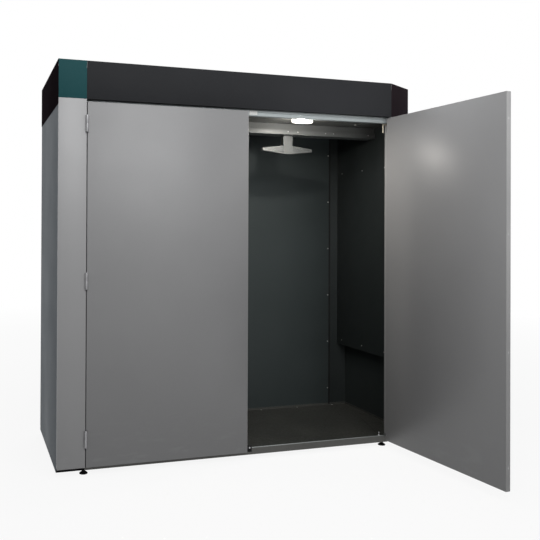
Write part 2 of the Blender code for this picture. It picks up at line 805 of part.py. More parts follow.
def ceiling_panel(cabinet):
    """Room ceiling and machine deck, with slots over the ducts and the beam, and two ribs."""
    edge = SIDE_X + SHEET + GAP
    back = BODY_DEPTH - SHEET - GAP
    outline = [
        (edge, COLUMN_DEPTH + GAP),
        (COLUMN_WIDTH + GAP, COLUMN_DEPTH + GAP),
        (COLUMN_WIDTH + GAP, FRONT_Y),
        (CORNER_X - GAP, FRONT_Y),
        (CORNER_X - GAP, COLUMN_DEPTH + GAP),
        (BODY_WIDTH - WALL, CORNER_ROOM_DEPTH + 2 * GAP),
        (BODY_WIDTH - edge, CORNER_ROOM_DEPTH + 2 * GAP),
        (BODY_WIDTH - edge, back),
        (edge, back),
    ]
    panel = piece("ceiling_panel", prism(outline, CEILING, DECK_TOP), "dark_liner", cabinet)
    below, above = CEILING - OVERRUN, DECK_TOP + OVERRUN
    slots = []
    slot_y = BEAM_Y + SHEET
    slot_back = BEAM_Y + BEAM_DEPTH - SHEET
    for x in post_places():
        slots.append(block(x - POST_WIDTH, x + POST_WIDTH, slot_y, slot_back, below, above))
    duct_low = WALL + GAP
    duct_high = WALL + DUCT_PROUD - SHEET
    slots.append(block(duct_low, duct_high, slot_y, slot_back, below, above))
    slots.append(
        block(BODY_WIDTH - duct_high, BODY_WIDTH - duct_low, slot_y, slot_back, below, above)
    )
    bore_x, bore_y = collar_place()
    slots.append(prism(circle(COLLAR_RADIUS, LARGE_SIDES, (bore_x, bore_y)), below, above))
    flange_top = FASCIA_BOTTOM + DECK_FLANGE_LAP
    join(
        panel,
        block(
            COLUMN_WIDTH + GAP, CORNER_X - GAP, FRONT_Y, FRONT_Y + SHEET, CEILING + SHEET / 2, flange_top
        ),
    )
    ribs = []
    for start in (FRONT_Y + DECK_RIB_FROM_FRONT, BACK_Y - DECK_RIB_FROM_BACK):
        half = DECK_RIB_WIDTH / 2
        outline = [
            (start - half, CEILING + SHEET / 2),
            (start - half / 2, CEILING - DECK_RIB_DEPTH),
            (start + half / 2, CEILING - DECK_RIB_DEPTH),
            (start + half, CEILING + SHEET / 2),
        ]
        reach = WALL + DUCT_PROUD + GAP
        ribs.append(prism(outline, reach, BODY_WIDTH - reach, "X"))
    join(panel, gather(ribs))
    return cut(panel, gather(slots))


def air_ducts(cabinet):
    """Air ducts on the side walls, open at the bottom and into the slots above."""
    low, high = FOOT_HEIGHT + DUCT_RAISE, CEILING - GAP
    front = CORNER_ROOM_DEPTH + DUCT_SETBACK
    left = [
        (WALL + GAP, front),
        (WALL + DUCT_PROUD, front),
        (WALL + DUCT_PROUD, BACK_Y - GAP),
        (WALL + GAP, BACK_Y - GAP),
    ]
    piece("air_duct_left", prism(folded(left), low, high), "dark_liner", cabinet)
    outline = mirrored(folded(left))
    piece("air_duct_right", prism(outline, low, high), "dark_liner", cabinet)


def hanging_beam(cabinet):
    """Stepped hollow beam that brings air to the posts."""
    top = CEILING - GAP
    step = CEILING - BEAM_UPPER
    bottom = step - BEAM_LOWER
    back = BEAM_Y + BEAM_DEPTH
    path = [
        (BEAM_Y, top),
        (BEAM_Y, step),
        (BEAM_Y - BEAM_LIP, step),
        (BEAM_Y - BEAM_LIP, bottom),
        (back + BEAM_LIP, bottom),
        (back + BEAM_LIP, step),
        (back, step),
        (back, top),
    ]
    end = WALL + DUCT_PROUD + GAP
    beam = piece(
        "hanging_beam", prism(folded(path), end, BODY_WIDTH - end, "X"), "galvanised", cabinet
    )
    slots = [prism(outline, bottom - OVERRUN, bottom + OVERRUN) for outline in beam_slots()]
    return cut(beam, gather(slots))


def arm_profile(wall, start, end):
    """Side outline of a tapered arm between two places along it, drawn in by a wall."""
    taper = (ARM_ROOT_HEIGHT - ARM_TIP_HEIGHT) / 2 / ARM_LENGTH
    first = ARM_ROOT_HEIGHT / 2 - taper * start - wall
    last = ARM_ROOT_HEIGHT / 2 - taper * end - wall
    return [(start, -first), (end, -last), (end, last), (start, first)]


def arm_mesh(parent):
    """Tapered hollow arm along +X, open at its root and perforated on both faces."""
    half = ARM_DEPTH / 2
    body = prism(arm_profile(0.0, 0.0, ARM_LENGTH), -half, half, "Y")
    long_edges = [
        edge for edge in body.edges if max(vert.co.x for vert in edge.verts) > ARM_LENGTH / 2
    ]
    bmesh.ops.bevel(
        body, geom=long_edges, offset=ARM_EDGE, segments=2, profile=0.5, affect="EDGES", material=-1
    )
    arm = piece("arm_pattern", body, "galvanised", parent, smooth=True)
    inner = half - ARM_WALL
    hollow = arm_profile(ARM_WALL, -OVERRUN, ARM_LENGTH - ARM_WALL)
    cut(arm, prism(hollow, -inner, inner, "Y"))
    rows = [(0.0, ARM_HOLE_PITCH, ARM_HOLE_COUNT)]
    rows += [(side * ARM_ROW_OFFSET, ARM_HOLE_PITCH / 2, ARM_SECOND_ROW_COUNT) for side in (-1, 1)]
    holes = []
    for height, start, count in rows:
        for index in range(count):
            ring = circle(ARM_HOLE_RADIUS, ARM_HOLE_SIDES, (start + ARM_HOLE_PITCH * index, height))
            holes.append(prism(ring, -half - OVERRUN, half + OVERRUN, "Y"))
    cut(arm, gather(holes))
    return settled(arm)


def hangers(cabinet):
    """Air posts under the beam, each with an arm to either side."""
    middle_y = BEAM_MIDDLE_Y
    seat_z = CEILING - BEAM_UPPER - BEAM_LOWER - GAP
    wide, deep = POST_WIDTH / 2, POST_DEPTH / 2
    wall, flange = POST_WALL, POST_FLANGE
    arm_z = ARM_ROOT_HEIGHT / 2 - POST_DROP
    window = ARM_ROOT_HEIGHT / 2 - ARM_EDGE
    window_deep = ARM_DEPTH / 2 - ARM_EDGE
    shape = arm_mesh(cabinet)
    for side, x in zip(("left", "right"), post_places()):
        tube = block(-wide, wide, -deep, deep, -POST_DROP, 0.0)
        post = piece(f"air_post_{side}", tube, "galvanised", cabinet, (x, middle_y, seat_z))
        join(post, block(-wide - flange, wide + flange, -deep - wall, deep + wall, -wall, 0.0))
        bottom = wall - POST_DROP
        cut(post, block(wall - wide, wide - wall, wall - deep, deep - wall, bottom, OVERRUN))
        reach = wide + OVERRUN
        cut(
            post,
            block(-reach, reach, -window_deep, window_deep, arm_z - window, arm_z + window),
        )
        for sign, turn in ((-1, math.pi), (1, 0.0)):
            outer = (sign < 0) == (side == "left")
            name = f"hanger_arm_{side}_{'outer' if outer else 'inner'}"
            place = (x + sign * (wide + GAP), middle_y, seat_z + arm_z)
            arm = piece(name, shape, "galvanised", cabinet, place)
            arm.rotation_euler = (0.0, 0.0, turn)


def lamps(cabinet):
    """Oblong ceiling lamps, each a housing and a domed lens."""
    for side, x in (("left", LAMP_FROM_SIDE), ("right", BODY_WIDTH - LAMP_FROM_SIDE)):
        place = (x, LAMP_SETBACK, CEILING - GAP)
        base = prism(capsule(LAMP_LENGTH, LAMP_WIDTH, 8), -LAMP_BASE, 0.0)
        piece(f"lamp_housing_{side}", base, "black_plastic", cabinet, place)
        outline = capsule(LAMP_LENGTH - LAMP_LENS_INSET, LAMP_WIDTH - LAMP_LENS_INSET, 8)
        top = -LAMP_BASE - GAP
        lens = prism(outline, top - LAMP_LENS, top)
        rim = [edge for edge in lens.edges if max(v.co.z for v in edge.verts) < top - LAMP_LENS / 2]
        bmesh.ops.bevel(
            lens, geom=rim, offset=LAMP_LENS_EDGE, segments=2, profile=0.5, affect="EDGES", material=-1
        )
        piece(f"lamp_lens_{side}", lens, "lens", cabinet, place, smooth=True)


def opening_fittings(cabinet):
    """Door catches on the sill, on one plate, and the hook in the top corner."""
    half = CATCH_WIDTH / 2
    back = FRONT_Y - GAP
    front = back - CATCH_THICKNESS
    top = FLOOR + TRAY_RIM + CATCH_OVER_TRAY
    reach = DOOR_GAP + CATCH_WIDTH
    plate = block(
        MEETING_X - reach, MEETING_X + reach, back - CATCH_PLATE, back,
        top - CATCH_HEIGHT - DOOR_GAP, top - CATCH_OVER_TRAY,
    )
    catches = piece("door_catches", plate, "black_plastic", cabinet)
    blocks = [
        block(x - half, x + half, front, back - CATCH_PLATE / 2, top - CATCH_HEIGHT, top)
        for x in (MEETING_X - half - DOOR_GAP / 2, MEETING_X + half + DOOR_GAP / 2)
    ]
    join(catches, gather(blocks))
    hook(cabinet)


def hook(cabinet):
    """Bent rod in the top right corner of the opening."""
    curve = bpy.data.curves.new("corner_hook", "CURVE")
    curve.dimensions = "3D"
    curve.bevel_depth = HOOK_RADIUS
    curve.bevel_resolution = 2
    curve.use_fill_caps = True
    spline = curve.splines.new("POLY")
    route = [(0.0, 0.0, 0.0)]
    for index in range(HOOK_BEND_STEPS + 1):
        angle = math.pi / 2 * index / HOOK_BEND_STEPS
        along = HOOK_BEND - HOOK_REACH - HOOK_BEND * math.sin(angle)
        route.append((along, 0.0, HOOK_BEND * math.cos(angle) - HOOK_BEND))
    route.append((-HOOK_REACH, 0.0, -HOOK_DROP))
    spline.points.add(len(route) - 1)
    for point, spot in zip(spline.points, route):
        point.co = (*spot, 1.0)
    rod = bpy.data.objects.new("corner_hook", curve)
    bpy.context.collection.objects.link(rod)
    curve.materials.append(finish("cream"))
    rod.parent = cabinet
    drop = HOOK_RADIUS + GAP
    rod.location = (CORNER_X - GAP, FRONT_Y + HEADER_DEPTH / 2, CEILING - HEADER_HEIGHT - drop)
    return rod


def fascia(cabinet):
    """Top cover: front, teal accent, angled corner and the two side bands."""
    path = [(FASCIA_RETURN, FASCIA_BOTTOM), (0.0, FASCIA_BOTTOM), (0.0, TOP), (FASCIA_RETURN, TOP)]
    profile = folded(path, -SHEET)
    accent = prism(profile, SIDE_X, COLUMN_WIDTH, "X")
    piece("fascia_accent", accent, "fascia_teal", cabinet)
    front = prism(profile, COLUMN_WIDTH + GAP, CHAMFER_X - GAP, "X")
    piece("fascia_front", front, "fascia_black", cabinet)
    start_x = CHAMFER_X + SHEET
    corner = folded(
        [
            (start_x, chamfer_y(start_x)),
            (BODY_WIDTH, CORNER_SETBACK),
            (BODY_WIDTH, CORNER_SETBACK + CORNER_LAP),
        ]
    )
    piece("fascia_corner", prism(corner, FASCIA_BOTTOM, TOP), "corner_black", cabinet)
    left = block(0.0, SHEET, 0.0, BODY_DEPTH, BAND_BOTTOM, TOP)
    left = piece("fascia_side_left", left, "corner_black", cabinet)
    edge_y = FASCIA_RETURN + GAP
    join(left, block(SHEET / 2, BAND_RETURN, edge_y, BODY_DEPTH, TOP - SHEET, TOP))
    edge_y = CORNER_SETBACK + CORNER_LAP + GAP
    right = block(BODY_WIDTH - SHEET, BODY_WIDTH, edge_y, BODY_DEPTH, BAND_BOTTOM, TOP)
    right = piece("fascia_side_right", right, "corner_black", cabinet)
    join(
        right,
        block(BODY_WIDTH - BAND_RETURN, BODY_WIDTH - SHEET / 2, edge_y, BODY_DEPTH, TOP - SHEET, TOP),
    )


def fan_place():
    """Axis of the fan, in plan."""
    return FAN_FROM_LEFT, BODY_DEPTH - FAN_FROM_BACK


def collar_place():
    """Axis of the exhaust collar, in plan."""
    return BODY_WIDTH - COLLAR_FROM_RIGHT, BODY_DEPTH - COLLAR_FROM_BACK


def roof_panel(cabinet):
    """Roof sheet inside the top cover, with intake slots and the collar's and gland's holes."""
    edge = SHEET + GAP
    outline = [
        (edge, edge),
        (CHAMFER_X - SHEET / 2, edge),
        (BODY_WIDTH - edge, chamfer_y(BODY_WIDTH - edge, edge)),
        (BODY_WIDTH - edge, BODY_DEPTH),
        (edge, BODY_DEPTH),
    ]
    roof = piece("roof_panel", prism(outline, ROOF_BOTTOM, ROOF_TOP), "side_grey", cabinet)
    below, above = ROOF_BOTTOM - OVERRUN, ROOF_TOP + OVERRUN
    fan_x, fan_y = fan_place()
    cuts = []
    for index in range(INTAKE_SLOT_COUNT):
        x = fan_x + (index - (INTAKE_SLOT_COUNT - 1) / 2) * INTAKE_SLOT_PITCH
        half = INTAKE_SLOT_WIDTH / 2
        reach = INTAKE_SLOT_LENGTH / 2
        cuts.append(block(x - half, x + half, fan_y - reach, fan_y + reach, below, above))
    cuts.append(prism(circle(COLLAR_RADIUS + GAP, LARGE_SIDES, collar_place()), below, above))
    cuts.append(prism(circle(GLAND_RADIUS + GAP, SMALL_SIDES, gland_place()), below, above))
    return cut(roof, gather(cuts))


def gland_place():
    """Axis of the cable gland, in plan."""
    x, y = collar_place()
    return x + GLAND_FROM_COLLAR, y


def collar_and_gland(cabinet):
    """Exhaust collar from the room up through the roof, and the gland for the supply cable."""
    outer = COLLAR_RADIUS
    inner = outer - COLLAR_WALL
    foot = DECK_SEAT
    profile = [
        (inner, foot),
        (outer + COLLAR_FLANGE, foot),
        (outer + COLLAR_FLANGE, foot + COLLAR_WALL),
        (outer, foot + COLLAR_WALL),
        (outer, ROOF_TOP + COLLAR_STAND),
        (inner, ROOF_TOP + COLLAR_STAND),
    ]
    place = (*collar_place(), 0.0)
    piece("exhaust_collar", turned(profile, LARGE_SIDES), "galvanised", cabinet, place, smooth=True)
    seat = ROOF_TOP + GAP
    profile = [
        (GLAND_BORE_RADIUS, ROOF_BOTTOM - GLAND_NUT_HEIGHT),
        (GLAND_RADIUS, ROOF_BOTTOM - GLAND_NUT_HEIGHT),
        (GLAND_RADIUS, seat),
        (GLAND_NUT_RADIUS, seat),
        (GLAND_NUT_RADIUS, seat + GLAND_NUT_HEIGHT),
        (GLAND_RADIUS, seat + GLAND_NUT_HEIGHT),
        (GLAND_RADIUS - GLAND_BORE_RADIUS / 2, seat + GLAND_HEIGHT),
        (GLAND_BORE_RADIUS, seat + GLAND_HEIGHT),
    ]
    place = (*gland_place(), 0.0)
    piece("cable_gland", turned(profile, SMALL_SIDES), "black_plastic", cabinet, place, smooth=True)


def fan_motor(cabinet):
    """Motor on the deck with the flange that carries the scroll, and its shaft."""
    top = MOTOR_HEIGHT
    flange_top = SCROLL_RAISE - GAP
    profile = [
        (0.0, 0.0),
        (MOTOR_RADIUS, 0.0),
        (MOTOR_RADIUS, flange_top - MOTOR_FLANGE),
        (MOTOR_FLANGE_RADIUS, flange_top - MOTOR_FLANGE),
        (MOTOR_FLANGE_RADIUS, flange_top),
        (MOTOR_RADIUS, flange_top),
        (MOTOR_RADIUS, top),
        (MOTOR_COLLAR_RADIUS, top),
        (MOTOR_COLLAR_RADIUS, top + MOTOR_COLLAR),
        (SHAFT_RADIUS, top + MOTOR_COLLAR),
        (SHAFT_RADIUS, top + MOTOR_COLLAR + SHAFT_LENGTH),
        (0.0, top + MOTOR_COLLAR + SHAFT_LENGTH),
    ]
    place = (*fan_place(), DECK_SEAT)
    return piece("fan_motor", turned(profile, ROUND_SIDES), "steel", cabinet, place, smooth=True)


def scroll_outline(wall):
    """Plan of the scroll, drawn in by a wall: a widening spiral that runs into the outlet."""
    start_radius = SCROLL_START_RADIUS - wall
    outlet_low = wall - SCROLL_START_RADIUS - SCROLL_GROWTH
    outlet_high = outlet_low + SCROLL_OUTLET_WIDTH - 2 * wall
    reach = SCROLL_OUTLET_REACH + (OVERRUN if wall else 0.0)
    first = math.asin(outlet_high / start_radius)
    points = []
    for index in range(SCROLL_STEPS + 1):
        share = index / SCROLL_STEPS
        angle = first + share * (1.5 * math.pi - first)
        radius = start_radius + SCROLL_GROWTH * share
        points.append((radius * math.cos(angle), radius * math.sin(angle)))
    return points + [(reach, outlet_low), (reach, outlet_high)]


def fan_scroll(cabinet):
    """Spiral fan housing with a round inlet on top and its outlet towards the heater."""
    place = (*fan_place(), DECK_SEAT + SCROLL_RAISE)
    shell = prism(scroll_outline(0.0), 0.0, SCROLL_HEIGHT)
    scroll = piece("fan_scroll", shell, "galvanised", cabinet, place)
    cut(scroll, prism(scroll_outline(SHEET), SHEET, SCROLL_HEIGHT - SHEET))
    inlet = prism(
        circle(SCROLL_INLET_RADIUS, LARGE_SIDES), SCROLL_HEIGHT - 2 * SHEET, SCROLL_HEIGHT + OVERRUN
    )
    cut(scroll, inlet)
    seat = prism(circle(bore(MOTOR_RADIUS, ROUND_SIDES), ROUND_SIDES), -OVERRUN, 2 * SHEET)
    return cut(scroll, seat)


def blade_outline(turn):
    """Plan of one curved fan blade, turned round the shaft by an angle."""
    start = WHEEL_EYE_RADIUS + BLADE_INSET
    reach = WHEEL_RADIUS - BLADE_INSET - start
    sweep, lean = math.radians(BLADE_SWEEP_DEG), math.radians(BLADE_LEAN_DEG)
    path = []
    for index in range(BLADE_STEPS + 1):
        share = index / BLADE_STEPS
        radius = start + reach * share
        angle = turn + lean * share - sweep * share * share
        path.append((radius * math.cos(angle), radius * math.sin(angle)))
    return folded(path, BLADE_THICKNESS)


def fan_wheel(cabinet):
    """Fan wheel: hub and back plate, a ring of curved blades, and the ring that ties them."""
    axis = empty(
        "fan_axis", (*fan_place(), DECK_SEAT + MOTOR_HEIGHT + MOTOR_COLLAR + GAP), cabinet
    )
    hole = SHAFT_RADIUS + GAP
    plate_top = WHEEL_RAISE + WHEEL_PLATE
    blade_top = WHEEL_RAISE + WHEEL_BLADE_HEIGHT
    profile = [
        (hole, 0.0),
        (WHEEL_HUB_RADIUS, 0.0),
        (WHEEL_HUB_RADIUS, WHEEL_RAISE),
        (WHEEL_RADIUS, WHEEL_RAISE),
        (WHEEL_RADIUS, plate_top),
        (WHEEL_HUB_RADIUS, plate_top),
        (WHEEL_HUB_RADIUS, WHEEL_HUB_HEIGHT),
        (hole, WHEEL_HUB_HEIGHT),
    ]
    wheel = piece("fan_impeller", turned(profile, ROUND_SIDES), "galvanised", axis)
    step = math.tau / BLADE_COUNT
    half_plate = WHEEL_PLATE / 2
    blades = [
        prism(blade_outline(step * index), WHEEL_RAISE + half_plate, blade_top + half_plate)
        for index in range(BLADE_COUNT)
    ]
    join(wheel, gather(blades))
    ring = [
        (WHEEL_EYE_RADIUS, blade_top),
        (WHEEL_RADIUS, blade_top),
        (WHEEL_RADIUS, blade_top + WHEEL_RING),
        (WHEEL_EYE_RADIUS, blade_top + WHEEL_RING),
    ]
    return join(wheel, turned(ring, ROUND_SIDES))


def plenum_places():
    """Where the plenum's branch starts and ends along the front, and where its back is."""
    fan_x, fan_y = fan_place()
    start = fan_x + SCROLL_OUTLET_REACH + GAP
    outlet_back = fan_y - SCROLL_START_RADIUS - SCROLL_GROWTH + SCROLL_OUTLET_WIDTH
    return start, start + PLENUM_BRANCH_LENGTH, outlet_back + PLENUM_BRANCH_LAP


def air_plenum(cabinet):
    """Hood over the beam's and ducts' slots, with the branch that holds the heater."""
    start, end, branch_back = plenum_places()
    left = SIDE_X + SHEET + PLENUM_SIDE_CLEARANCE
    outline = [
        (left, PLENUM_FRONT_Y),
        (BODY_WIDTH - left, PLENUM_FRONT_Y),
        (BODY_WIDTH - left, PLENUM_BACK_Y),
        (end, PLENUM_BACK_Y),
        (end, branch_back),
        (start, branch_back),
        (start, PLENUM_BACK_Y),
        (left, PLENUM_BACK_Y),
    ]
    low, high = DECK_SEAT, DECK_SEAT + PLENUM_HEIGHT
    plenum = piece("air_plenum", prism(outline, low, high), "galvanised", cabinet)
    cut(plenum, prism(inset(outline, SHEET), low - OVERRUN, high - SHEET))
    fan_y = fan_place()[1]
    outlet_front = fan_y - SCROLL_START_RADIUS - SCROLL_GROWTH
    inlet = block(
        start - OVERRUN,
        start + SHEET + OVERRUN,
        outlet_front + SHEET,
        outlet_front + SCROLL_OUTLET_WIDTH - SHEET,
        low + SCROLL_RAISE + SHEET,
        low + SCROLL_RAISE + SCROLL_HEIGHT - SHEET,
    )
    cut(plenum, inlet)
    hole = bore(HEATER_ROD_RADIUS, SMALL_SIDES)
    height = low + SCROLL_RAISE + SCROLL_HEIGHT / 2
    holes = [
        prism(
            circle(hole, SMALL_SIDES, (x, height)),
            branch_back - SHEET - OVERRUN, branch_back + OVERRUN, "Y",
        )
        for x in heater_ends(start)
    ]
    return cut(plenum, gather(holes))


def heater_ends(start):
    """Where along the front the heater's two ends leave the branch."""
    first = start + HEATER_SETBACK
    return first, first + (HEATER_RUNS - 1) * HEATER_PITCH


def heater(cabinet):
    """Heating rod in a row of bends across the air stream, both ends out through the wall."""
    start, _, branch_back = plenum_places()
    bend = HEATER_PITCH / 2
    low = PLENUM_BACK_Y + HEATER_FRONT_CLEARANCE
    high = branch_back - SHEET - HEATER_WALL_CLEARANCE - HEATER_ROD_RADIUS - bend
    x = heater_ends(start)[0]
    outside = branch_back + HEATER_TERMINAL
    route = [(x, outside)]
    for run in range(HEATER_RUNS - 1):
        turn_y, side = (low, -1) if run % 2 == 0 else (high, 1)
        for step in range(HEATER_BEND_STEPS + 1):
            angle = math.pi * step / HEATER_BEND_STEPS
            route.append((x + bend - bend * math.cos(angle), turn_y + side * bend * math.sin(angle)))
        x += HEATER_PITCH
    route.append((x, outside))
    curve = bpy.data.curves.new("heater_element", "CURVE")
    curve.dimensions = "3D"
    curve.bevel_depth = HEATER_ROD_RADIUS
    curve.bevel_resolution = 2
    curve.use_fill_caps = True
    spline = curve.splines.new("POLY")
    spline.points.add(len(route) - 1)
    for point, (u, v) in zip(spline.points, route):
        point.co = (u, v, 0.0, 1.0)
    rod = bpy.data.objects.new("heater_element", curve)
    bpy.context.collection.objects.link(rod)
    curve.materials.append(finish("steel"))
    rod.parent = cabinet
    rod.location = (0.0, 0.0, DECK_SEAT + SCROLL_RAISE + SCROLL_HEIGHT / 2)
    return rod


def air_filter(cabinet):
    """Pleated filter cassette under the intake slots."""
    wide, deep = FILTER_LENGTH / 2, FILTER_WIDTH / 2
    frame = FILTER_FRAME
    place = (*fan_place(), ROOF_BOTTOM - GAP - FILTER_HEIGHT)
    cassette = piece(
        "air_filter", block(-wide, wide, -deep, deep, 0.0, FILTER_HEIGHT), "filter_white", cabinet, place
    )
    cut(
        cassette,
        block(
            frame - wide, wide - frame, frame - deep, deep - frame, -OVERRUN, FILTER_HEIGHT + OVERRUN
        ),
    )
    reach = wide - frame / 2
    low, high = 2 * FILTER_PLEAT_INSET, FILTER_HEIGHT - 2 * FILTER_PLEAT_INSET
    count = 2 * FILTER_PLEATS
    path = [
        (2 * reach * index / count - reach, low if index % 2 else high) for index in range(count + 1)
    ]
    pleats = prism(folded(path, FILTER_PLEAT_SHEET), frame / 2 - deep, deep - frame / 2, "Y")
    return join(cassette, pleats)


def control_box(cabinet):
    """Closed box for the controls on the deck, with an overlapping lid."""
    x0 = BODY_WIDTH - CONTROL_BOX_FROM_RIGHT
    x1 = x0 + CONTROL_BOX_LENGTH
    y1 = PLENUM_FRONT_Y - CONTROL_BOX_CLEARANCE
    y0 = y1 - CONTROL_BOX_WIDTH
    top = DECK_SEAT + CONTROL_BOX_HEIGHT
    body = block(x0, x1, y0, y1, DECK_SEAT, top - SHEET)
    box = piece("control_box", body, "side_grey", cabinet)
    over = CONTROL_BOX_LID_OVER
    lid = block(x0 - over, x1 + over, y0 - over, y1 + over, top - CONTROL_BOX_LID, top)
    edges = [edge for edge in lid.edges if max(v.co.z for v in edge.verts) > top - SHEET]
    bmesh.ops.bevel(
        lid, geom=edges, offset=CONTROL_BOX_EDGE, segments=2, profile=0.5, affect="EDGES", material=-1
    )
    join(box, lid)
    sides = (x0 + SHEET, x1 - SHEET, y0 + SHEET, y1 - SHEET)
    return cut(box, block(*sides, DECK_SEAT - OVERRUN, top - 2 * SHEET))


def control_panel(cabinet):
    """Bezel on the angled corner with its programme dial and start button."""
    middle_x = (CHAMFER_X + BODY_WIDTH) / 2
    seat = empty(
        "control_panel_seat",
        (middle_x, chamfer_y(middle_x), PANEL_CENTRE_HEIGHT),
        cabinet,
        math.degrees(CORNER_ANGLE),
    )
    wide, tall = PANEL_WIDTH / 2, PANEL_HEIGHT / 2
    face = -GAP - PANEL_PROUD
    slab = block(-wide, wide, face, -GAP, -tall, tall)
    edges = [edge for edge in slab.edges if min(v.co.y for v in edge.verts) < -PANEL_PROUD / 2]
    bmesh.ops.bevel(
        slab, geom=edges, offset=PANEL_EDGE, segments=2, profile=0.5, affect="EDGES", material=-1
    )
    panel = piece("control_panel", slab, "black_plastic", seat)
    button_z = -BUTTON_BELOW_CENTRE
    pocket = prism(
        circle(bore(BUTTON_RADIUS, ROUND_SIDES), ROUND_SIDES, (0.0, button_z)),
        face - OVERRUN, face + BUTTON_POCKET, "Y",
    )
    cut(panel, pocket)
    dial = empty("dial_axis", (0.0, face - GAP, DIAL_ABOVE_CENTRE), seat)
    dial.rotation_euler = (math.pi / 2, 0.0, 0.0)
    program_dial(dial)
    button = empty("button_axis", (0.0, face, button_z), seat)
    button.rotation_euler = (math.pi / 2, 0.0, 0.0)
    profile = [
        (0.0, -BUTTON_STEM),
        (BUTTON_RADIUS, -BUTTON_STEM),
        (BUTTON_RADIUS, BUTTON_PROUD - BUTTON_EDGE),
        (BUTTON_RADIUS - BUTTON_EDGE, BUTTON_PROUD),
        (0.0, BUTTON_PROUD),
    ]
    piece("start_button", turned(profile, ROUND_SIDES), "fascia_teal", button, smooth=True)
    return panel


def program_dial(axis):
    """Fluted knob with a pointer groove."""
    profile = [
        (0.0, 0.0),
        (DIAL_RADIUS, 0.0),
        (DIAL_RADIUS, DIAL_HEIGHT - DIAL_EDGE),
        (DIAL_RADIUS - DIAL_EDGE, DIAL_HEIGHT),
        (0.0, DIAL_HEIGHT),
    ]
    knob = piece("program_dial", turned(profile, 2 * DIAL_GRIP_COUNT), "black_plastic", axis, smooth=True)
    flutes = [
        prism(circle(DIAL_GRIP_RADIUS, 8, spot), DIAL_FLANGE, DIAL_HEIGHT + OVERRUN)
        for spot in circle(DIAL_RADIUS, DIAL_GRIP_COUNT)
    ]
    cut(knob, gather(flutes))
    half = DIAL_POINTER_WIDTH / 2
    groove = block(
        -half, half, DIAL_RADIUS / 2, DIAL_RADIUS + OVERRUN,
        DIAL_HEIGHT - DIAL_POINTER_DEPTH, DIAL_HEIGHT + OVERRUN,
    )
    return cut(knob, groove)


def door(cabinet, side):
    """One door on its hinge axis, drawn shut, as a skin, a core and a let-in inner panel."""
    left = side == "left"
    sign = 1.0 if left else -1.0
    axis = empty(
        f"door_{side}_axis",
        (LEFT_HINGE_X if left else RIGHT_HINGE_X, -HINGE_PROUD, 0.0),
        cabinet,
        0.0 if left else RIGHT_DOOR_OPEN_DEG,
    )
    near = DOOR_GAP / 2
    front, back = HINGE_PROUD, HINGE_PROUD + DOOR_THICKNESS

    def slab(edge, y0, y1, end=0.0):
        """A block over the door's face, drawn in at its four edges."""
        x0, x1 = sorted((sign * (near + edge), sign * (near + DOOR_WIDTH - edge)))
        return block(x0, x1, y0, y1, DOOR_BOTTOM + edge, DOOR_TOP - edge)

    skin = slab(0.0, front, back)
    edges = [edge for edge in skin.edges if max(v.co.y for v in edge.verts) < front + SHEET]
    bmesh.ops.bevel(
        skin, geom=edges, offset=DOOR_EDGE_RADIUS, segments=2, profile=0.5, affect="EDGES", material=-1
    )
    shell = piece(f"door_{side}_shell", skin, "satin_grey", axis)
    cut(shell, slab(DOOR_SKIN, front + DOOR_SKIN, back + OVERRUN))
    core_back = back - SHEET - GAP
    core = slab(DOOR_SKIN + GAP, front + DOOR_SKIN + GAP, core_back)
    piece(f"door_{side}_core", core, "foam", axis)
    piece(f"door_{side}_inner_panel", slab(DOOR_SKIN + GAP, back - SHEET, back), "satin_grey", axis)
    strip_x = sorted((sign * (near - GAP), sign * (near - GAP - HINGE_LEAF)))
    spans = [(z + GAP / 2, z + HINGE_HEIGHT / 2) for z in hinge_heights()]
    barrels = [cylinder(HINGE_RADIUS, low, high, SMALL_SIDES) for low, high in spans]
    strip = prism(hinge_strip(HINGE_PROUD, spans), *strip_x, "X")
    made = piece(f"door_{side}_hinge_strip", strip, "steel", axis)
    join(made, gather(barrels))
    holes = [
        prism(
            circle(bore(HINGE_PIN_RADIUS, SMALL_SIDES), SMALL_SIDES),
            z - OVERRUN, z + HINGE_PIN_LENGTH + GAP,
        )
        for z in hinge_heights()
    ]
    cut(made, gather(holes))
    return axis


def hinge_heights():
    """Heights of the three hinges' middles, from the lowest."""
    low = DOOR_BOTTOM + HINGE_BOTTOM_INSET
    high = DOOR_TOP - HINGE_TOP_INSET
    return low, (low + high) / 2, high


def hinge_strip(face_y, spans):
    """Side outline of a hinge strip: an upright with a tab out to the axis at each hinge."""
    front, back = face_y + HINGE_STRIP_SETBACK, face_y + HINGE_LEAF_DEPTH
    outline = [(front, DOOR_BOTTOM), (back, DOOR_BOTTOM), (back, DOOR_TOP), (front, DOOR_TOP)]
    axis_y = face_y - HINGE_PROUD
    for low, high in reversed(spans):
        outline += [(front, high - GAP), (axis_y, high - GAP), (axis_y, low + GAP), (front, low + GAP)]
    return outline


def hinge_strips(cabinet):
    """Strips along the jambs, each with the three lower hinge halves and their pins."""
    for side, sign, x in (("left", 1.0, LEFT_HINGE_X), ("right", -1.0, RIGHT_HINGE_X)):
        near = DOOR_GAP / 2 - GAP
        ends = sorted((x - sign * near, x - sign * (near - HINGE_LEAF)))
        spans = [(z - HINGE_HEIGHT / 2, z - GAP / 2) for z in hinge_heights()]
        strip = prism(hinge_strip(0.0, spans), *ends, "X")
        made = piece(f"hinge_strip_{side}", strip, "steel", cabinet)
        posts = []
        for low, high in spans:
            tip = high + GAP / 2 + HINGE_PIN_LENGTH
            profile = [
                (0.0, low),
                (HINGE_RADIUS, low),
                (HINGE_RADIUS, high),
                (HINGE_PIN_RADIUS, high),
                (HINGE_PIN_RADIUS, tip),
                (0.0, tip),
            ]
            posts.append(moved(turned(profile, SMALL_SIDES), (x, -HINGE_PROUD, 0.0)))
        join(made, gather(posts))


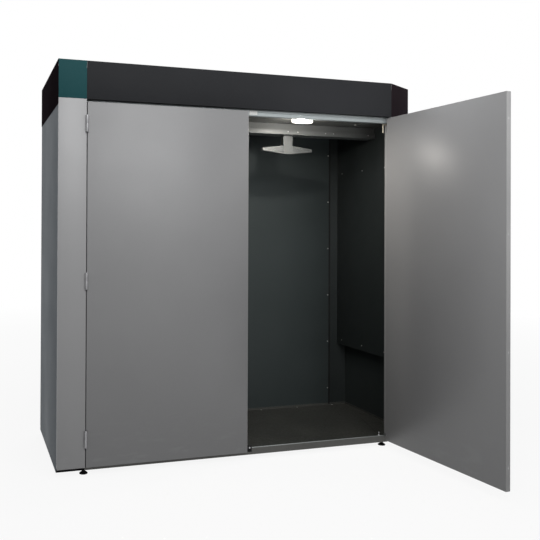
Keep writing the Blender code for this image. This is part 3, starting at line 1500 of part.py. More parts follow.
def origin_offset():
    """From the left front foot corner to the middle of the cabinet with its right door open."""
    turn = math.radians(RIGHT_DOOR_OPEN_DEG)
    reach = DOOR_GAP / 2 + DOOR_WIDTH
    back = HINGE_PROUD + DOOR_THICKNESS
    front_y = -HINGE_PROUD - reach * math.sin(turn) + back * math.cos(turn)
    return BODY_WIDTH / 2, (front_y + BODY_DEPTH) / 2


def main():
    """Builds the cabinet."""
    clear_scene()
    middle_x, middle_y = origin_offset()
    cabinet = empty("cabinet", (-middle_x, -middle_y, 0.0))
    for build in (
        base_frame, feet, floor_tray, side_panels, liners, back_panel, column_panel, corner_panel,
        header_rail, ceiling_panel, air_ducts, hanging_beam, hangers, lamps, opening_fittings,
        fascia, roof_panel, collar_and_gland, fan_motor, fan_scroll, fan_wheel, air_plenum, heater,
        air_filter, control_box, control_panel, hinge_strips,
    ):
        build(cabinet)
    for side in ("left", "right"):
        door(cabinet, side)
    bpy.context.view_layer.update()


main()
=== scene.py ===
"""Looks of the gear drying cabinet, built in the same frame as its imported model.

Every sub-assembly is a class that holds its own sizes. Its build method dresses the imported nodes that
belong to it and adds the small pieces that only the looks need. All lengths are metres.
"""

import json
import logging
import math
from collections.abc import Callable
from dataclasses import dataclass, field, replace
from enum import Enum

import bmesh
import bpy
from mathutils import Matrix, Vector

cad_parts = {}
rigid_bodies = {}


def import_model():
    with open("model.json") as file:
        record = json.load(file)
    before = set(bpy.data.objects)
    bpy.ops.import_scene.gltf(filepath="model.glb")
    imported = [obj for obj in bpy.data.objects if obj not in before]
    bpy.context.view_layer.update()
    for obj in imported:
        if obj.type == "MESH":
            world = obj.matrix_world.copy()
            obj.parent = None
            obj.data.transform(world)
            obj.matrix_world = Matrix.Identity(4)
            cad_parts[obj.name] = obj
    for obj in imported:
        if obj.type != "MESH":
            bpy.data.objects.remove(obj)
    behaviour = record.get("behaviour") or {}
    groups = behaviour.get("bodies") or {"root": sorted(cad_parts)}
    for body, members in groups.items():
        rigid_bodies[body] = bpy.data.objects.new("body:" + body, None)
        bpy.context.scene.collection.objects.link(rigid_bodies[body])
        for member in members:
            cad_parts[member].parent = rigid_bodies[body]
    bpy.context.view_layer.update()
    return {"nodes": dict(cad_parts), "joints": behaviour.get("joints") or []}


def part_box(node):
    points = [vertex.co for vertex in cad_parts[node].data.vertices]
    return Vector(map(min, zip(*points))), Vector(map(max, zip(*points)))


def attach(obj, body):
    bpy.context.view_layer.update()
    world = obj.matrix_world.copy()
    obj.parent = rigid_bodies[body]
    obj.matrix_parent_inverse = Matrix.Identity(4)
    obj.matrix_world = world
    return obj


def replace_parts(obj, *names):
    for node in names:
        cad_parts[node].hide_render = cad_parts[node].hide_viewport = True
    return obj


LOG = logging.getLogger("drying_cabinet")
Colour = tuple[float, float, float]
Place = tuple[float, float, float]
Shape = bmesh.types.BMesh
Socket = bpy.types.NodeSocket
Value = Socket | float
Corners = list[bmesh.types.BMVert]
Chooser = Callable[[Vector], bool]
Spots = list[tuple[Vector, Vector]]
SIDES = ("left", "right")
BOTH_WAYS = (-1.0, 1.0)

# Waves in a metre of the patterns that all finishes share
BROAD_PATCHES = 1.7
ROUGH_PATCHES = 5.0
RUBBED_PATCHES = 38.0
SCUFF_STREAKS = 9.0
SHEET_WAVES = 2.6
FLOOR_PATCHES = 3.0

# Waves or cells in a metre of each grain's own pattern
ZINC_FLOWERS = 115.0
ZINC_WAVES = 420.0
DRAWN_LINES = 60.0
FIBRE_STRANDS = 260.0
LENS_RIBS = 900.0
MOULDED_WAVES = 700.0
COAT_FLAKES = 1400.0
COAT_WAVES = 900.0

# The part of each pattern's range that is stretched to the whole
NOISE_SPAN = (0.3, 0.7)
STREAK_SPAN = (0.56, 0.66)
RUBBED_SPAN = (0.42, 0.62)
FLOWER_SPAN = (0.1, 0.9)
LINE_SPAN = (0.35, 0.65)
STRAND_SPAN = (0.4, 0.6)
FLAKE_SPAN = (0.55, 0.9)

# How strongly each pattern changes the colour, the roughness, the relief or the glow
FLOWER_SHADE = 0.45
FLOWER_ROUGHNESS = (-0.06, 0.08)
LINE_SHADE = 0.4
FLAKE_SHADE = 0.22
SCUFF_ROUGHNESS = 0.2
FIBRE_RELIEF = 6.0
RIB_GLOW = 0.75
CLEAR_COAT_ROUGHNESS = 0.2

# Factors that stretch the streaks of scuffs and the lines of drawn metal across their height
STREAKS_STRETCH = (1.0, 1.0, 3.5)
LINES_STRETCH = (1.0, 1.0, 14.0)

# Scuffs fade out between these heights
SCUFF_FULL = 0.05
SCUFF_NONE = 0.34

# Edges that turn more than the first are rounded, and those that turn more than the second are shaded sharp
ROUNDED_ANGLE = math.radians(35.0)
SHARP_ANGLE = math.radians(32.0)

# Faces whose edges turn less than this are one flat face
FLAT_ANGLE = math.radians(0.4)

# The cosine between a rounded edge and its face, where wear begins and where it is full
EDGE_BEGINS = 0.995
EDGE_FULL = 0.86

# The colours of the lit lamp covers and of the plain background
LAMP_GLOW = (1.0, 0.95, 0.86, 1.0)
WHITE = (1.0, 1.0, 1.0, 1.0)

# Roundings of thin trim and of printed marks
TRIM_EDGE = 0.0002
PRINT_EDGE = 0.00004

# The blank plate lies on the header's bright strip, which is this thick
HEADER_STRIP = 0.0008

# A cross has twelve corners, and each screw is turned this much further than the last, in radians
CROSS_CORNERS = 12
SCREW_TURN = 0.7


class Grain(Enum):
    """The kinds of surface that a finish can have."""

    POWDER = "powder coat on sheet"
    SPANGLE = "zinc coating"
    BRUSHED = "drawn metal"
    MOULDED = "moulded plastic"
    FIBRE = "fleece or foam"
    OPAL = "lit lamp cover"


class Facing(Enum):
    """The directions in which a flat surface of the cabinet can look."""

    FRONT = (0.0, -1.0, 0.0)
    BACK = (0.0, 1.0, 0.0)
    LEFT = (-1.0, 0.0, 0.0)
    RIGHT = (1.0, 0.0, 0.0)
    UP = (0.0, 0.0, 1.0)
    DOWN = (0.0, 0.0, -1.0)

    @property
    def way(self) -> Vector:
        """The direction as a vector."""
        return Vector(self.value)


class Pen:
    """Draws the nodes of one material."""

    def __init__(self, name: str) -> None:
        """Starts an empty material.

        Args:
            name: the material's name.
        """
        self.material = bpy.data.materials.new(name)
        self.material.use_nodes = True
        self.tree = self.material.node_tree
        self.tree.nodes.clear()
        self.place = self.node("ShaderNodeTexCoord").outputs["Object"]

    def node(self, kind: str, inputs: dict | None = None, **settings: object) -> bpy.types.Node:
        """Adds a node.

        Args:
            kind: the node's type name.
            inputs: values or sockets for its inputs, by name or index.
            settings: other properties of the node.

        Returns:
            The node.
        """
        made = self.tree.nodes.new(kind)
        for key, value in settings.items():
            setattr(made, key, value)
        for key, value in (inputs or {}).items():
            if isinstance(value, bpy.types.NodeSocket):
                self.tree.links.new(value, made.inputs[key])
            else:
                made.inputs[key].default_value = value
        return made

    def stretched(self, scale: Place) -> Socket:
        """Gives the place on the object, scaled along each axis.

        Args:
            scale: the factor along x, y and z.

        Returns:
            The socket with the scaled place.
        """
        return self.node("ShaderNodeMapping", {"Vector": self.place, "Scale": scale}).outputs[0]

    def noise(self, scale: float, detail: float = 3.0, at: Socket | None = None) -> Socket:
        """Gives soft noise.

        Args:
            scale: how many waves fit in a metre.
            detail: how many finer layers lie on top.
            at: the place to read it at, or None for the plain one.

        Returns:
            The socket with the noise, about 0 to 1.
        """
        inputs = {"Vector": at or self.place, "Scale": scale, "Detail": detail}
        return self.node("ShaderNodeTexNoise", inputs).outputs["Fac"]

    def cells(self, scale: float) -> Socket:
        """Gives a pattern of cells, each with its own brightness.

        Args:
            scale: how many cells fit in a metre.

        Returns:
            The socket with the brightness.
        """
        cells = self.node("ShaderNodeTexVoronoi", {"Vector": self.place, "Scale": scale})
        return self.node("ShaderNodeRGBToBW", {0: cells.outputs["Color"]}).outputs[0]

    def span(
        self, value: Value, low: float, high: float, to_low: float = 0.0, to_high: float = 1.0
    ) -> Socket:
        """Maps a value from one range to another, held at its ends.

        Args:
            value: the socket to map.
            low: the start of its range.
            high: the end of its range.
            to_low: what the start becomes.
            to_high: what the end becomes.

        Returns:
            The socket with the mapped value.
        """
        inputs = {"Value": value, 1: low, 2: high, 3: to_low, 4: to_high}
        return self.node("ShaderNodeMapRange", inputs, clamp=True).outputs[0]

    def reckon(self, kind: str, first: Value, second: Value) -> Socket:
        """Works out a value from two others.

        Args:
            kind: the operation's name.
            first: a socket or a number.
            second: a socket or a number.

        Returns:
            The socket with the result.
        """
        return self.node("ShaderNodeMath", {0: first, 1: second}, operation=kind).outputs[0]

    def blend(self, share: Value, first: Socket | Colour, second: Socket | Colour) -> Socket:
        """Mixes two colours.

        Args:
            share: how much of the second one, a socket or a number.
            first: a socket or a colour.
            second: a socket or a colour.

        Returns:
            The socket with the mixed colour.
        """
        given = {0: share}
        for key, colour in ((6, first), (7, second)):
            given[key] = (*colour, 1.0) if isinstance(colour, tuple) else colour
        return self.node("ShaderNodeMix", given, data_type="RGBA").outputs[2]

    def bump(self, height: Socket, distance: float, under: Socket | None = None) -> Socket:
        """Turns heights into a surface's relief.

        Args:
            height: the socket with the heights.
            distance: how tall a full height is.
            under: the relief that this one lies on, if any.

        Returns:
            The socket with the bent normal.
        """
        inputs = {"Height": height, "Distance": distance, "Strength": 1.0}
        if under is not None:
            inputs["Normal"] = under
        return self.node("ShaderNodeBump", inputs).outputs[0]

    def edges(self, radius: float) -> Socket:
        """Finds the edges of the piece.

        Args:
            radius: how far an edge reaches.

        Returns:
            The socket with 0 on flats, rising to 1 on edges.
        """
        soft = self.node("ShaderNodeBevel", {"Radius": radius}, samples=4).outputs[0]
        sharp = self.node("ShaderNodeNewGeometry").outputs["Normal"]
        same = self.node("ShaderNodeVectorMath", {0: soft, 1: sharp}, operation="DOT_PRODUCT")
        return self.span(same.outputs["Value"], EDGE_BEGINS, EDGE_FULL)


@dataclass(frozen=True)
class Finish:
    """A surface that several pieces share."""

    name: str
    colour: Colour
    shade: Colour
    worn: Colour
    grain: Grain
    roughness: float
    metallic: float = 0.0
    drift: float = 0.08
    wear: float = 0.5
    relief: float = 0.00012
    coat: float = 0.0
    glow: float = 0.0
    waves: float = 0.0
    scuffs: float = 0.0
    specular: float = 0.5
    ior: float = 1.5
    edge: float = 0.0016

    def material(self) -> bpy.types.Material:
        """Draws the finish's material, once.

        Returns:
            The material.
        """
        if self.name in bpy.data.materials:
            return bpy.data.materials[self.name]
        pen = Pen(self.name)
        broad = pen.noise(BROAD_PATCHES, 4.0)
        colour = pen.blend(pen.span(broad, *NOISE_SPAN), self.colour, self.shade)
        least, most = self.roughness - self.drift, self.roughness + self.drift
        rough = pen.span(pen.noise(ROUGH_PATCHES, 5.0), *NOISE_SPAN, least, most)
        colour, rough, height, step = self.grained(pen, colour, rough)
        if self.scuffs > 0.0:
            low = pen.node("ShaderNodeSeparateXYZ", {0: pen.place}).outputs["Z"]
            near_floor = pen.span(low, SCUFF_FULL, SCUFF_NONE, 1.0, 0.0)
            streaks = pen.noise(SCUFF_STREAKS, 6.0, pen.stretched(STREAKS_STRETCH))
            marks = pen.reckon("MULTIPLY", near_floor, pen.span(streaks, *STREAK_SPAN))
            marks = pen.reckon("MULTIPLY", marks, self.scuffs)
            colour = pen.blend(marks, colour, self.worn)
            rough = pen.reckon("ADD", rough, pen.reckon("MULTIPLY", marks, SCUFF_ROUGHNESS))
        if self.wear > 0.0:
            patches = pen.span(pen.noise(RUBBED_PATCHES, 4.0), *RUBBED_SPAN)
            rubbed = pen.reckon("MULTIPLY", pen.edges(self.edge), patches)
            rubbed = pen.reckon("MULTIPLY", rubbed, self.wear)
            colour = pen.blend(rubbed, colour, self.worn)
        relief = pen.bump(height, step)
        if self.waves > 0.0:
            relief = pen.bump(pen.noise(SHEET_WAVES, 1.0), self.waves, relief)
        shader = pen.node(
            "ShaderNodeBsdfPrincipled",
            {
                "Base Color": colour,
                "Roughness": rough,
                "Metallic": self.metallic,
                "Normal": relief,
                "Coat Weight": self.coat,
                "Coat Roughness": CLEAR_COAT_ROUGHNESS,
                "Specular IOR Level": self.specular,
                "IOR": self.ior,
            },
        )
        if self.glow > 0.0:
            shader.inputs["Emission Color"].default_value = LAMP_GLOW
            ribs = pen.span(height, 0.0, 1.0, self.glow * RIB_GLOW, self.glow)
            pen.tree.links.new(ribs, shader.inputs["Emission Strength"])
        pen.node("ShaderNodeOutputMaterial", {"Surface": shader.outputs[0]})
        return pen.material

    def grained(self, pen: Pen, colour: Socket, rough: Socket) -> tuple[Socket, Socket, Socket, float]:
        """Adds what is particular to the finish's grain.

        Args:
            pen: draws the material.
            colour: the colour so far.
            rough: the roughness so far.

        Returns:
            The colour, the roughness, the relief's heights, and how tall they are.
        """
        if self.grain is Grain.SPANGLE:
            flower = pen.span(pen.cells(ZINC_FLOWERS), *FLOWER_SPAN)
            colour = pen.blend(pen.span(flower, 0.0, 1.0, 0.0, FLOWER_SHADE), colour, self.shade)
            rough = pen.reckon("ADD", rough, pen.span(flower, 0.0, 1.0, *FLOWER_ROUGHNESS))
            return colour, rough, pen.noise(ZINC_WAVES, 2.0), self.relief
        if self.grain is Grain.BRUSHED:
            lines = pen.noise(DRAWN_LINES, 4.0, pen.stretched(LINES_STRETCH))
            colour = pen.blend(pen.span(lines, *LINE_SPAN, 0.0, LINE_SHADE), colour, self.shade)
            return colour, rough, lines, self.relief
        if self.grain is Grain.FIBRE:
            strands = pen.noise(FIBRE_STRANDS, 8.0)
            colour = pen.blend(pen.span(strands, *STRAND_SPAN), colour, self.shade)
            return colour, rough, strands, self.relief * FIBRE_RELIEF
        if self.grain is Grain.OPAL:
            turns = pen.node("ShaderNodeSeparateXYZ", {0: pen.stretched((LENS_RIBS, 1.0, 1.0))})
            ribs = pen.span(pen.reckon("SINE", turns.outputs["X"], 0.0), -1.0, 1.0)
            return colour, rough, ribs, self.relief
        if self.grain is Grain.MOULDED:
            return colour, rough, pen.noise(MOULDED_WAVES, 3.0), self.relief
        flakes = pen.span(pen.cells(COAT_FLAKES), *FLAKE_SPAN, 0.0, FLAKE_SHADE)
        colour = pen.blend(flakes, colour, self.worn)
        return colour, rough, pen.noise(COAT_WAVES, 2.0), self.relief


SATIN = Finish(
    "satin_grey_coat", (0.300, 0.300, 0.305), (0.325, 0.325, 0.330), (0.52, 0.53, 0.54), Grain.POWDER,
    0.42, metallic=0.12, drift=0.03, wear=0.30, relief=0.00004, waves=0.0003, scuffs=0.12, specular=0.3,
    ior=1.35,
)
COLUMN = replace(
    SATIN, name="light_satin_coat", colour=(0.376, 0.376, 0.382), shade=(0.408, 0.408, 0.414),
)
DOOR_EDGE = replace(
    SATIN, name="bright_door_edge", colour=(0.480, 0.480, 0.480), shade=(0.380, 0.380, 0.385), drift=0.06,
    waves=0.0,
)
SIDE = Finish(
    "side_grey_coat", (0.150, 0.168, 0.184), (0.168, 0.186, 0.204), (0.34, 0.36, 0.38), Grain.POWDER,
    0.60, metallic=0.10, drift=0.04, wear=0.35, relief=0.00006, waves=0.0003, scuffs=0.15, specular=0.2,
    ior=1.2,
)
THIN_SIDE = replace(SIDE, name="thin_grey_coat", edge=0.0004, waves=0.0)
# The side linings and duct panels are near black, partly the sheet's own dark colour and partly painted
# shade for the recess and for walls the light reaches at a slant
LINER = Finish(
    "dark_liner_sheet", (0.020, 0.025, 0.025), (0.027, 0.032, 0.033), (0.11, 0.115, 0.11), Grain.POWDER,
    0.46, metallic=0.20, drift=0.06, wear=0.4, relief=0.00006, waves=0.0006, specular=0.25,
)
CEILING = replace(
    LINER, name="ceiling_sheet", colour=(0.150, 0.152, 0.145), shade=(0.120, 0.122, 0.116),
)
# The back lining is kept lighter than the side linings of the same sheet, whose darker colour is partly
# painted shade
BACK_LINER = replace(
    LINER, name="back_liner_sheet", colour=(0.038, 0.048, 0.049), shade=(0.046, 0.057, 0.058), edge=0.0004,
)
ZINC = Finish(
    "zinc_sheet", (0.32, 0.34, 0.335), (0.25, 0.27, 0.265), (0.60, 0.62, 0.61), Grain.SPANGLE,
    0.40, metallic=0.75, drift=0.05, wear=0.35, relief=0.00004, waves=0.0003,
)
HEADER = replace(
    ZINC, name="header_zinc_sheet", colour=(0.40, 0.44, 0.445), shade=(0.34, 0.375, 0.38), metallic=0.35,
)
BEAM = Finish(
    "beam_zinc_sheet", (0.160, 0.168, 0.165), (0.130, 0.137, 0.135), (0.40, 0.41, 0.41), Grain.SPANGLE,
    0.50, metallic=0.15, drift=0.06, wear=0.4, relief=0.00004, waves=0.0004,
)
ARM = replace(
    ZINC, name="arm_zinc_sheet", colour=(0.125, 0.130, 0.128), shade=(0.098, 0.103, 0.101), metallic=0.5,
)
TRAY = Finish(
    "tray_sheet", (0.068, 0.069, 0.062), (0.050, 0.051, 0.046), (0.28, 0.29, 0.28), Grain.SPANGLE,
    0.42, metallic=0.45, drift=0.10, wear=0.5, relief=0.00005, waves=0.0005,
)
TRAY_FRONT = replace(
    TRAY, name="tray_front_sheet", colour=(0.120, 0.120, 0.112), shade=(0.092, 0.092, 0.086), metallic=0.2,
)
FASCIA = Finish(
    "fascia_black_coat", (0.028, 0.029, 0.032), (0.033, 0.034, 0.037), (0.12, 0.125, 0.13), Grain.POWDER,
    0.50, drift=0.04, wear=0.5, relief=0.00004, waves=0.0002, specular=0.3, ior=1.15,
)
TEAL = Finish(
    "fascia_teal_coat", (0.017, 0.078, 0.086), (0.020, 0.088, 0.096), (0.14, 0.24, 0.25), Grain.POWDER,
    0.48, drift=0.04, wear=0.5, relief=0.00004, waves=0.0002, specular=0.3, ior=1.15,
)
CORNER = Finish(
    "corner_black_coat", (0.018, 0.012, 0.015), (0.023, 0.016, 0.019), (0.11, 0.10, 0.11), Grain.POWDER,
    0.60, drift=0.04, wear=0.5, relief=0.00004, waves=0.0002, specular=0.2, ior=1.08,
)
SIDE_BAND = replace(
    CORNER, name="side_band_black_coat", colour=(0.011, 0.007, 0.009), shade=(0.014, 0.009, 0.012),
    roughness=0.75, specular=0.05, ior=1.03, edge=0.0008,
)
PLASTIC = Finish(
    "black_moulding", (0.010, 0.010, 0.011), (0.015, 0.015, 0.016), (0.07, 0.07, 0.072), Grain.MOULDED,
    0.46, wear=0.5, relief=0.00004, specular=0.3, ior=1.25,
)
# Painted shade: near-black steel put on the base's front and on the left hinge strips, where shadow falls,
# in place of the steel's own colour
PAINTED_SHADE = Finish(
    "dark_joint_steel", (0.030, 0.030, 0.032), (0.040, 0.040, 0.042), (0.10, 0.10, 0.10), Grain.BRUSHED,
    0.60, wear=0.3, relief=0.00003, specular=0.15, ior=1.15,
)
KNUCKLE = Finish(
    "hinge_knuckle_steel", (0.36, 0.36, 0.37), (0.29, 0.29, 0.30), (0.60, 0.60, 0.61), Grain.BRUSHED,
    0.42, metallic=0.60, wear=0.4, relief=0.00002,
)
STEEL = Finish(
    "bright_steel", (0.55, 0.55, 0.56), (0.45, 0.45, 0.46), (0.70, 0.70, 0.71), Grain.BRUSHED,
    0.32, metallic=1.0, wear=0.3, relief=0.00002,
)
INNER_SCREW = replace(
    STEEL, name="bright_zinc_screw", colour=(0.74, 0.75, 0.73), shade=(0.60, 0.61, 0.59), metallic=0.2,
)
OPAL = Finish(
    "opal_cover", (0.86, 0.85, 0.80), (0.90, 0.89, 0.85), (0.95, 0.95, 0.92), Grain.OPAL,
    0.35, wear=0.0, relief=0.0003, coat=0.3, glow=2.4,
)
FOAM = Finish(
    "insulating_foam", (0.60, 0.56, 0.42), (0.48, 0.44, 0.32), (0.7, 0.66, 0.5), Grain.FIBRE,
    0.92, wear=0.0, specular=0.1,
)
FLEECE = Finish(
    "filter_fleece", (0.74, 0.76, 0.75), (0.60, 0.62, 0.62), (0.8, 0.8, 0.8), Grain.FIBRE,
    0.92, wear=0.0, specular=0.1,
)
CREAM = Finish(
    "cream_coated_wire", (0.60, 0.55, 0.43), (0.52, 0.48, 0.37), (0.70, 0.66, 0.56), Grain.MOULDED,
    0.38, wear=0.3, relief=0.00004,
)
RUBBER = Finish(
    "black_rubber", (0.013, 0.013, 0.013), (0.020, 0.020, 0.020), (0.05, 0.05, 0.05), Grain.MOULDED,
    0.70, wear=0.3, relief=0.0001, specular=0.2,
)
WHITE_PLATE = Finish(
    "blank_white_plate", (0.88, 0.88, 0.86), (0.80, 0.80, 0.78), (0.90, 0.90, 0.88), Grain.MOULDED,
    0.40, wear=0.3, relief=0.00003,
)
PRINT = Finish(
    "light_print", (0.70, 0.70, 0.69), (0.62, 0.62, 0.61), (0.8, 0.8, 0.8), Grain.MOULDED,
    0.50, wear=0.0, relief=0.00002,
)


Accents = tuple[tuple[Finish, Chooser], ...]


@dataclass
class Shop:
    """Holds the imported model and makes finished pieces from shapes."""

    nodes: dict[str, bpy.types.Object]
    joints: dict[str, dict]
    made: list[str] = field(default_factory=list)
    flat_area: float = 0.002

    def publish(
        self, name: str, shape: Shape, finish: Finish, body: str = "cabinet", accents: Accents = ()
    ) -> bpy.types.Object:
        """Turns a shape into a finished piece that rides on a body.

        Args:
            name: the piece's name.
            shape: its shape in the row frame, used up here.
            finish: its surface.
            body: the body that it moves with.
            accents: other surfaces, each with the test that a face's middle has to pass.

        Returns:
            The object.
        """
        for index, (_, chosen) in enumerate(accents, start=1):
            for face in shape.faces:
                if chosen(face.calc_center_median()):
                    face.material_index = index
        bmesh.ops.remove_doubles(shape, verts=shape.verts[:], dist=1e-6)
        bmesh.ops.recalc_face_normals(shape, faces=shape.faces[:])
        for face in shape.faces:
            face.smooth = face.calc_area() < self.flat_area
        mesh = bpy.data.meshes.new(name)
        shape.to_mesh(mesh)
        shape.free()
        for surface in (finish, *(accent for accent, _ in accents)):
            mesh.materials.append(surface.material())
        mesh.set_sharp_from_angle(angle=SHARP_ANGLE)
        piece = bpy.data.objects.new(name, mesh)
        bpy.context.scene.collection.objects.link(piece)
        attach(piece, body)
        self.made.append(name)
        return piece

    def paint(self, finish: Finish, *names: str) -> None:
        """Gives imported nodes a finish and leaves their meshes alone.

        Args:
            finish: the surface.
            names: the nodes.
        """
        for name in names:
            mesh = self.nodes[name].data
            mesh.materials.clear()
            mesh.materials.append(finish.material())
            self.made.append(name)

    def copied(self, name: str) -> Shape:
        """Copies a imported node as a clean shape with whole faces.

        Args:
            name: the node.

        Returns:
            The shape.
        """
        shape = bmesh.new()
        shape.from_mesh(self.nodes[name].data)
        bmesh.ops.remove_doubles(shape, verts=shape.verts[:], dist=1e-5)
        bmesh.ops.dissolve_limit(
            shape, angle_limit=FLAT_ANGLE, verts=shape.verts[:], edges=shape.edges[:]
        )
        bmesh.ops.recalc_face_normals(shape, faces=shape.faces[:])
        for face in shape.faces:
            face.material_index = 0
        return shape

    def soften(self, shape: Shape, width: float, steps: int = 2) -> None:
        """Rounds the sharp edges of a shape.

        Args:
            shape: the shape, changed in place.
            width: how wide the rounding is.
            steps: how many faces make it.
        """
        sharp = [
            edge for edge in shape.edges
            if len(edge.link_faces) == 2 and edge.calc_face_angle(0.0) > ROUNDED_ANGLE
        ]
        bmesh.ops.bevel(
            shape, geom=sharp, offset=width, segments=steps, profile=0.5, affect="EDGES",
            clamp_overlap=True, material=-1,
        )

    def rounded(
        self, finish: Finish, width: float, *names: str, steps: int = 2, accents: Accents = ()
    ) -> None:
        """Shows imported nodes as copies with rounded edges.

        Args:
            finish: their surface.
            width: how wide the rounding is.
            names: the nodes.
            steps: how many faces make the rounding.
            accents: other surfaces, each with the test that a face's middle has to pass.
        """
        for name in names:
            shape = self.copied(name)
            self.soften(shape, width, steps)
            body = self.nodes[name].parent.name.removeprefix("body:")
            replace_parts(self.publish(f"{name}_sheet", shape, finish, body, accents), name)

    def trim(self, name: str, size: Place, middle: Place, finish: Finish) -> None:
        """Adds a thin plate whose broad side looks to the front.

        Args:
            name: the piece's name.
            size: its width, height and thickness.
            middle: the place of its middle.
            finish: its surface.
        """
        shape = bmesh.new()
        plate(shape, size, TRIM_EDGE, Matrix.Translation(middle) @ turned_to(Facing.FRONT.way))
        self.publish(name, shape, finish)

    def far_side(self, name: str, way: Vector) -> float:
        """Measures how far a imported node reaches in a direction.

        Args:
            name: the node.
            way: the direction, of length one.

        Returns:
            The distance from the origin.
        """
        return max(vertex.co.dot(way) for vertex in self.nodes[name].data.vertices)


def turned_to(way: Vector) -> Matrix:
    """Gives the turn that brings the upward direction to another one.

    Args:
        way: the direction.

    Returns:
        The turn as a matrix.
    """
    return way.to_track_quat("Z", "Y").to_matrix().to_4x4()


def ring_of(shape: Shape, radius: float, height: float, sides: int, turn: float = 0.0) -> Corners:
    """Adds an open ring of edges.

    Args:
        shape: the shape to add to.
        radius: the ring's radius.
        height: its height.
        sides: how many edges it has.
        turn: the angle of its first corner.

    Returns:
        The corners.
    """
    place = Matrix.Translation((0.0, 0.0, height)) @ Matrix.Rotation(turn, 4, "Z")
    return bmesh.ops.create_circle(shape, segments=sides, radius=radius, matrix=place)["verts"]


def loop_edges(corners: Corners) -> list[bmesh.types.BMEdge]:
    """Gives the edges between the corners of a ring, in the same order each run.

    Args:
        corners: the ring's corners.

    Returns:
        The edges.
    """
    known = set(corners)
    found = {edge for corner in corners for edge in corner.link_edges if set(edge.verts) <= known}
    return sorted(found, key=lambda edge: tuple(edge.verts[0].co) + tuple(edge.verts[1].co))


def joined(shape: Shape, rings: list[Corners]) -> None:
    """Joins each ring to the next one with faces.

    Args:
        shape: the shape that holds them.
        rings: the corners of each ring.
    """
    for lower, upper in zip(rings, rings[1:]):
        bmesh.ops.bridge_loops(shape, edges=loop_edges(lower) + loop_edges(upper))


def lathed(profile: list[tuple[float, float]], sides: int, move: Matrix) -> Shape:
    """Makes a round shape from the rings of a profile.

    Args:
        profile: radius and height of each ring.
        sides: how many faces go round.
        move: where the shape goes.

    Returns:
        The shape.
    """
    shape = bmesh.new()
    joined(shape, [ring_of(shape, radius, height, sides) for radius, height in profile])
    bmesh.ops.transform(shape, matrix=move, verts=shape.verts[:])
    return shape


def plate(shape: Shape, size: Place, edge: float, move: Matrix) -> None:
    """Adds a flat plate with rounded edges.

    Args:
        shape: the shape to add to.
        size: length, width and thickness.
        edge: the rounding's width.
        move: where the plate goes.
    """
    known = set(shape.verts)
    scale = Matrix.Diagonal((*size, 1.0))
    corners = bmesh.ops.create_cube(shape, size=1.0, matrix=scale)["verts"]
    edges = list({item for corner in corners for item in corner.link_edges})
    bmesh.ops.bevel(
        shape, geom=edges, offset=edge, segments=2, profile=0.5, affect="EDGES",
        clamp_overlap=True, material=-1,
    )
    fresh = [corner for corner in shape.verts if corner not in known]
    bmesh.ops.transform(shape, matrix=move, verts=fresh)


@dataclass(frozen=True)
class Screw:
    """A cross-recess screw head."""

    radius: float = 0.0038
    height: float = 0.0018
    recess: float = 0.0011
    flush: bool = False
    outline: tuple[tuple[float, float], ...] = ((1.0, 0.0), (1.0, 0.35), (0.86, 0.8), (0.62, 1.0))
    cross_ring: float = 0.5
    cross_length: float = 0.52
    cross_width: float = 0.15
    diagonal: float = 1.2

    def head(self) -> bpy.types.Mesh:
        """Builds the head at the origin, looking up.

        Returns:
            A mesh that can be stamped many times.
        """
        shape = bmesh.new()
        turn = math.pi / CROSS_CORNERS
        rings = [
            ring_of(shape, self.radius * width, self.height * height, CROSS_CORNERS, turn)
            for width, height in self.outline
        ]
        levels = [self.height] if self.flush else [self.height, self.height - self.recess]
        for level in levels:
            rings.append(ring_of(shape, self.radius * self.cross_ring, level, CROSS_CORNERS, turn))
            self.make_cross(rings[-1])
        joined(shape, rings)
        if not self.flush:
            bmesh.ops.contextual_create(shape, geom=loop_edges(rings[-1]))
        bmesh.ops.recalc_face_normals(shape, faces=shape.faces[:])
        mesh = bpy.data.meshes.new("screw_head")
        shape.to_mesh(mesh)
        shape.free()
        return mesh

    def make_cross(self, corners: Corners) -> None:
        """Moves the corners of a ring to the outline of a cross.

        Args:
            corners: the ring's corners.
        """
        long, short = self.radius * self.cross_length, self.radius * self.cross_width
        for corner in corners:
            x, y = corner.co.x, corner.co.y
            wide = abs(x) > abs(y) * self.diagonal
            tall = abs(y) > abs(x) * self.diagonal
            corner.co.x = math.copysign(long if wide else short, x)
            corner.co.y = math.copysign(long if tall else short, y)

    def stamp(self, spots: Spots) -> Shape:
        """Sets heads at several places, each turned a little further than the last.

        Args:
            spots: a point and the direction that the head looks in, for each.

        Returns:
            One shape with all heads.
        """
        head = self.head()
        shape = bmesh.new()
        for index, (point, way) in enumerate(spots):
            before = len(shape.verts)
            shape.from_mesh(head)
            shape.verts.ensure_lookup_table()
            turn = Matrix.Rotation(SCREW_TURN * index, 4, "Z")
            move = Matrix.Translation(point) @ turned_to(way) @ turn
            bmesh.ops.transform(shape, matrix=move, verts=shape.verts[before:])
        bpy.data.meshes.remove(head)
        return shape


ROOF_SCREW = Screw()
BACK_SCREW = Screw(radius=0.0042, height=0.00072, recess=0.0008)
LINING_SCREW = Screw(radius=0.0036, height=0.0015, recess=0.0009)
CEILING_SCREW = Screw(radius=0.0040, height=0.0022, recess=0.0009)
COVER_SCREW = Screw(radius=0.0034, height=0.0014, recess=0.0009)
COLLAR_SCREW = Screw(radius=0.0032, height=0.0014, recess=0.0009)
DOOR_SCREW = Screw(radius=0.0034, height=0.0006, recess=0.0005)
CATCH_SCREW = Screw(radius=0.0042, height=0.0002, flush=True)


def spread(first: float, last: float, count: int) -> list[float]:
    """Gives evenly spread values.

    Args:
        first: the first value.
        last: the last value.
        count: how many there are.

    Returns:
        The values.
    """
    return [first + (last - first) * step / (count - 1) for step in range(count)]


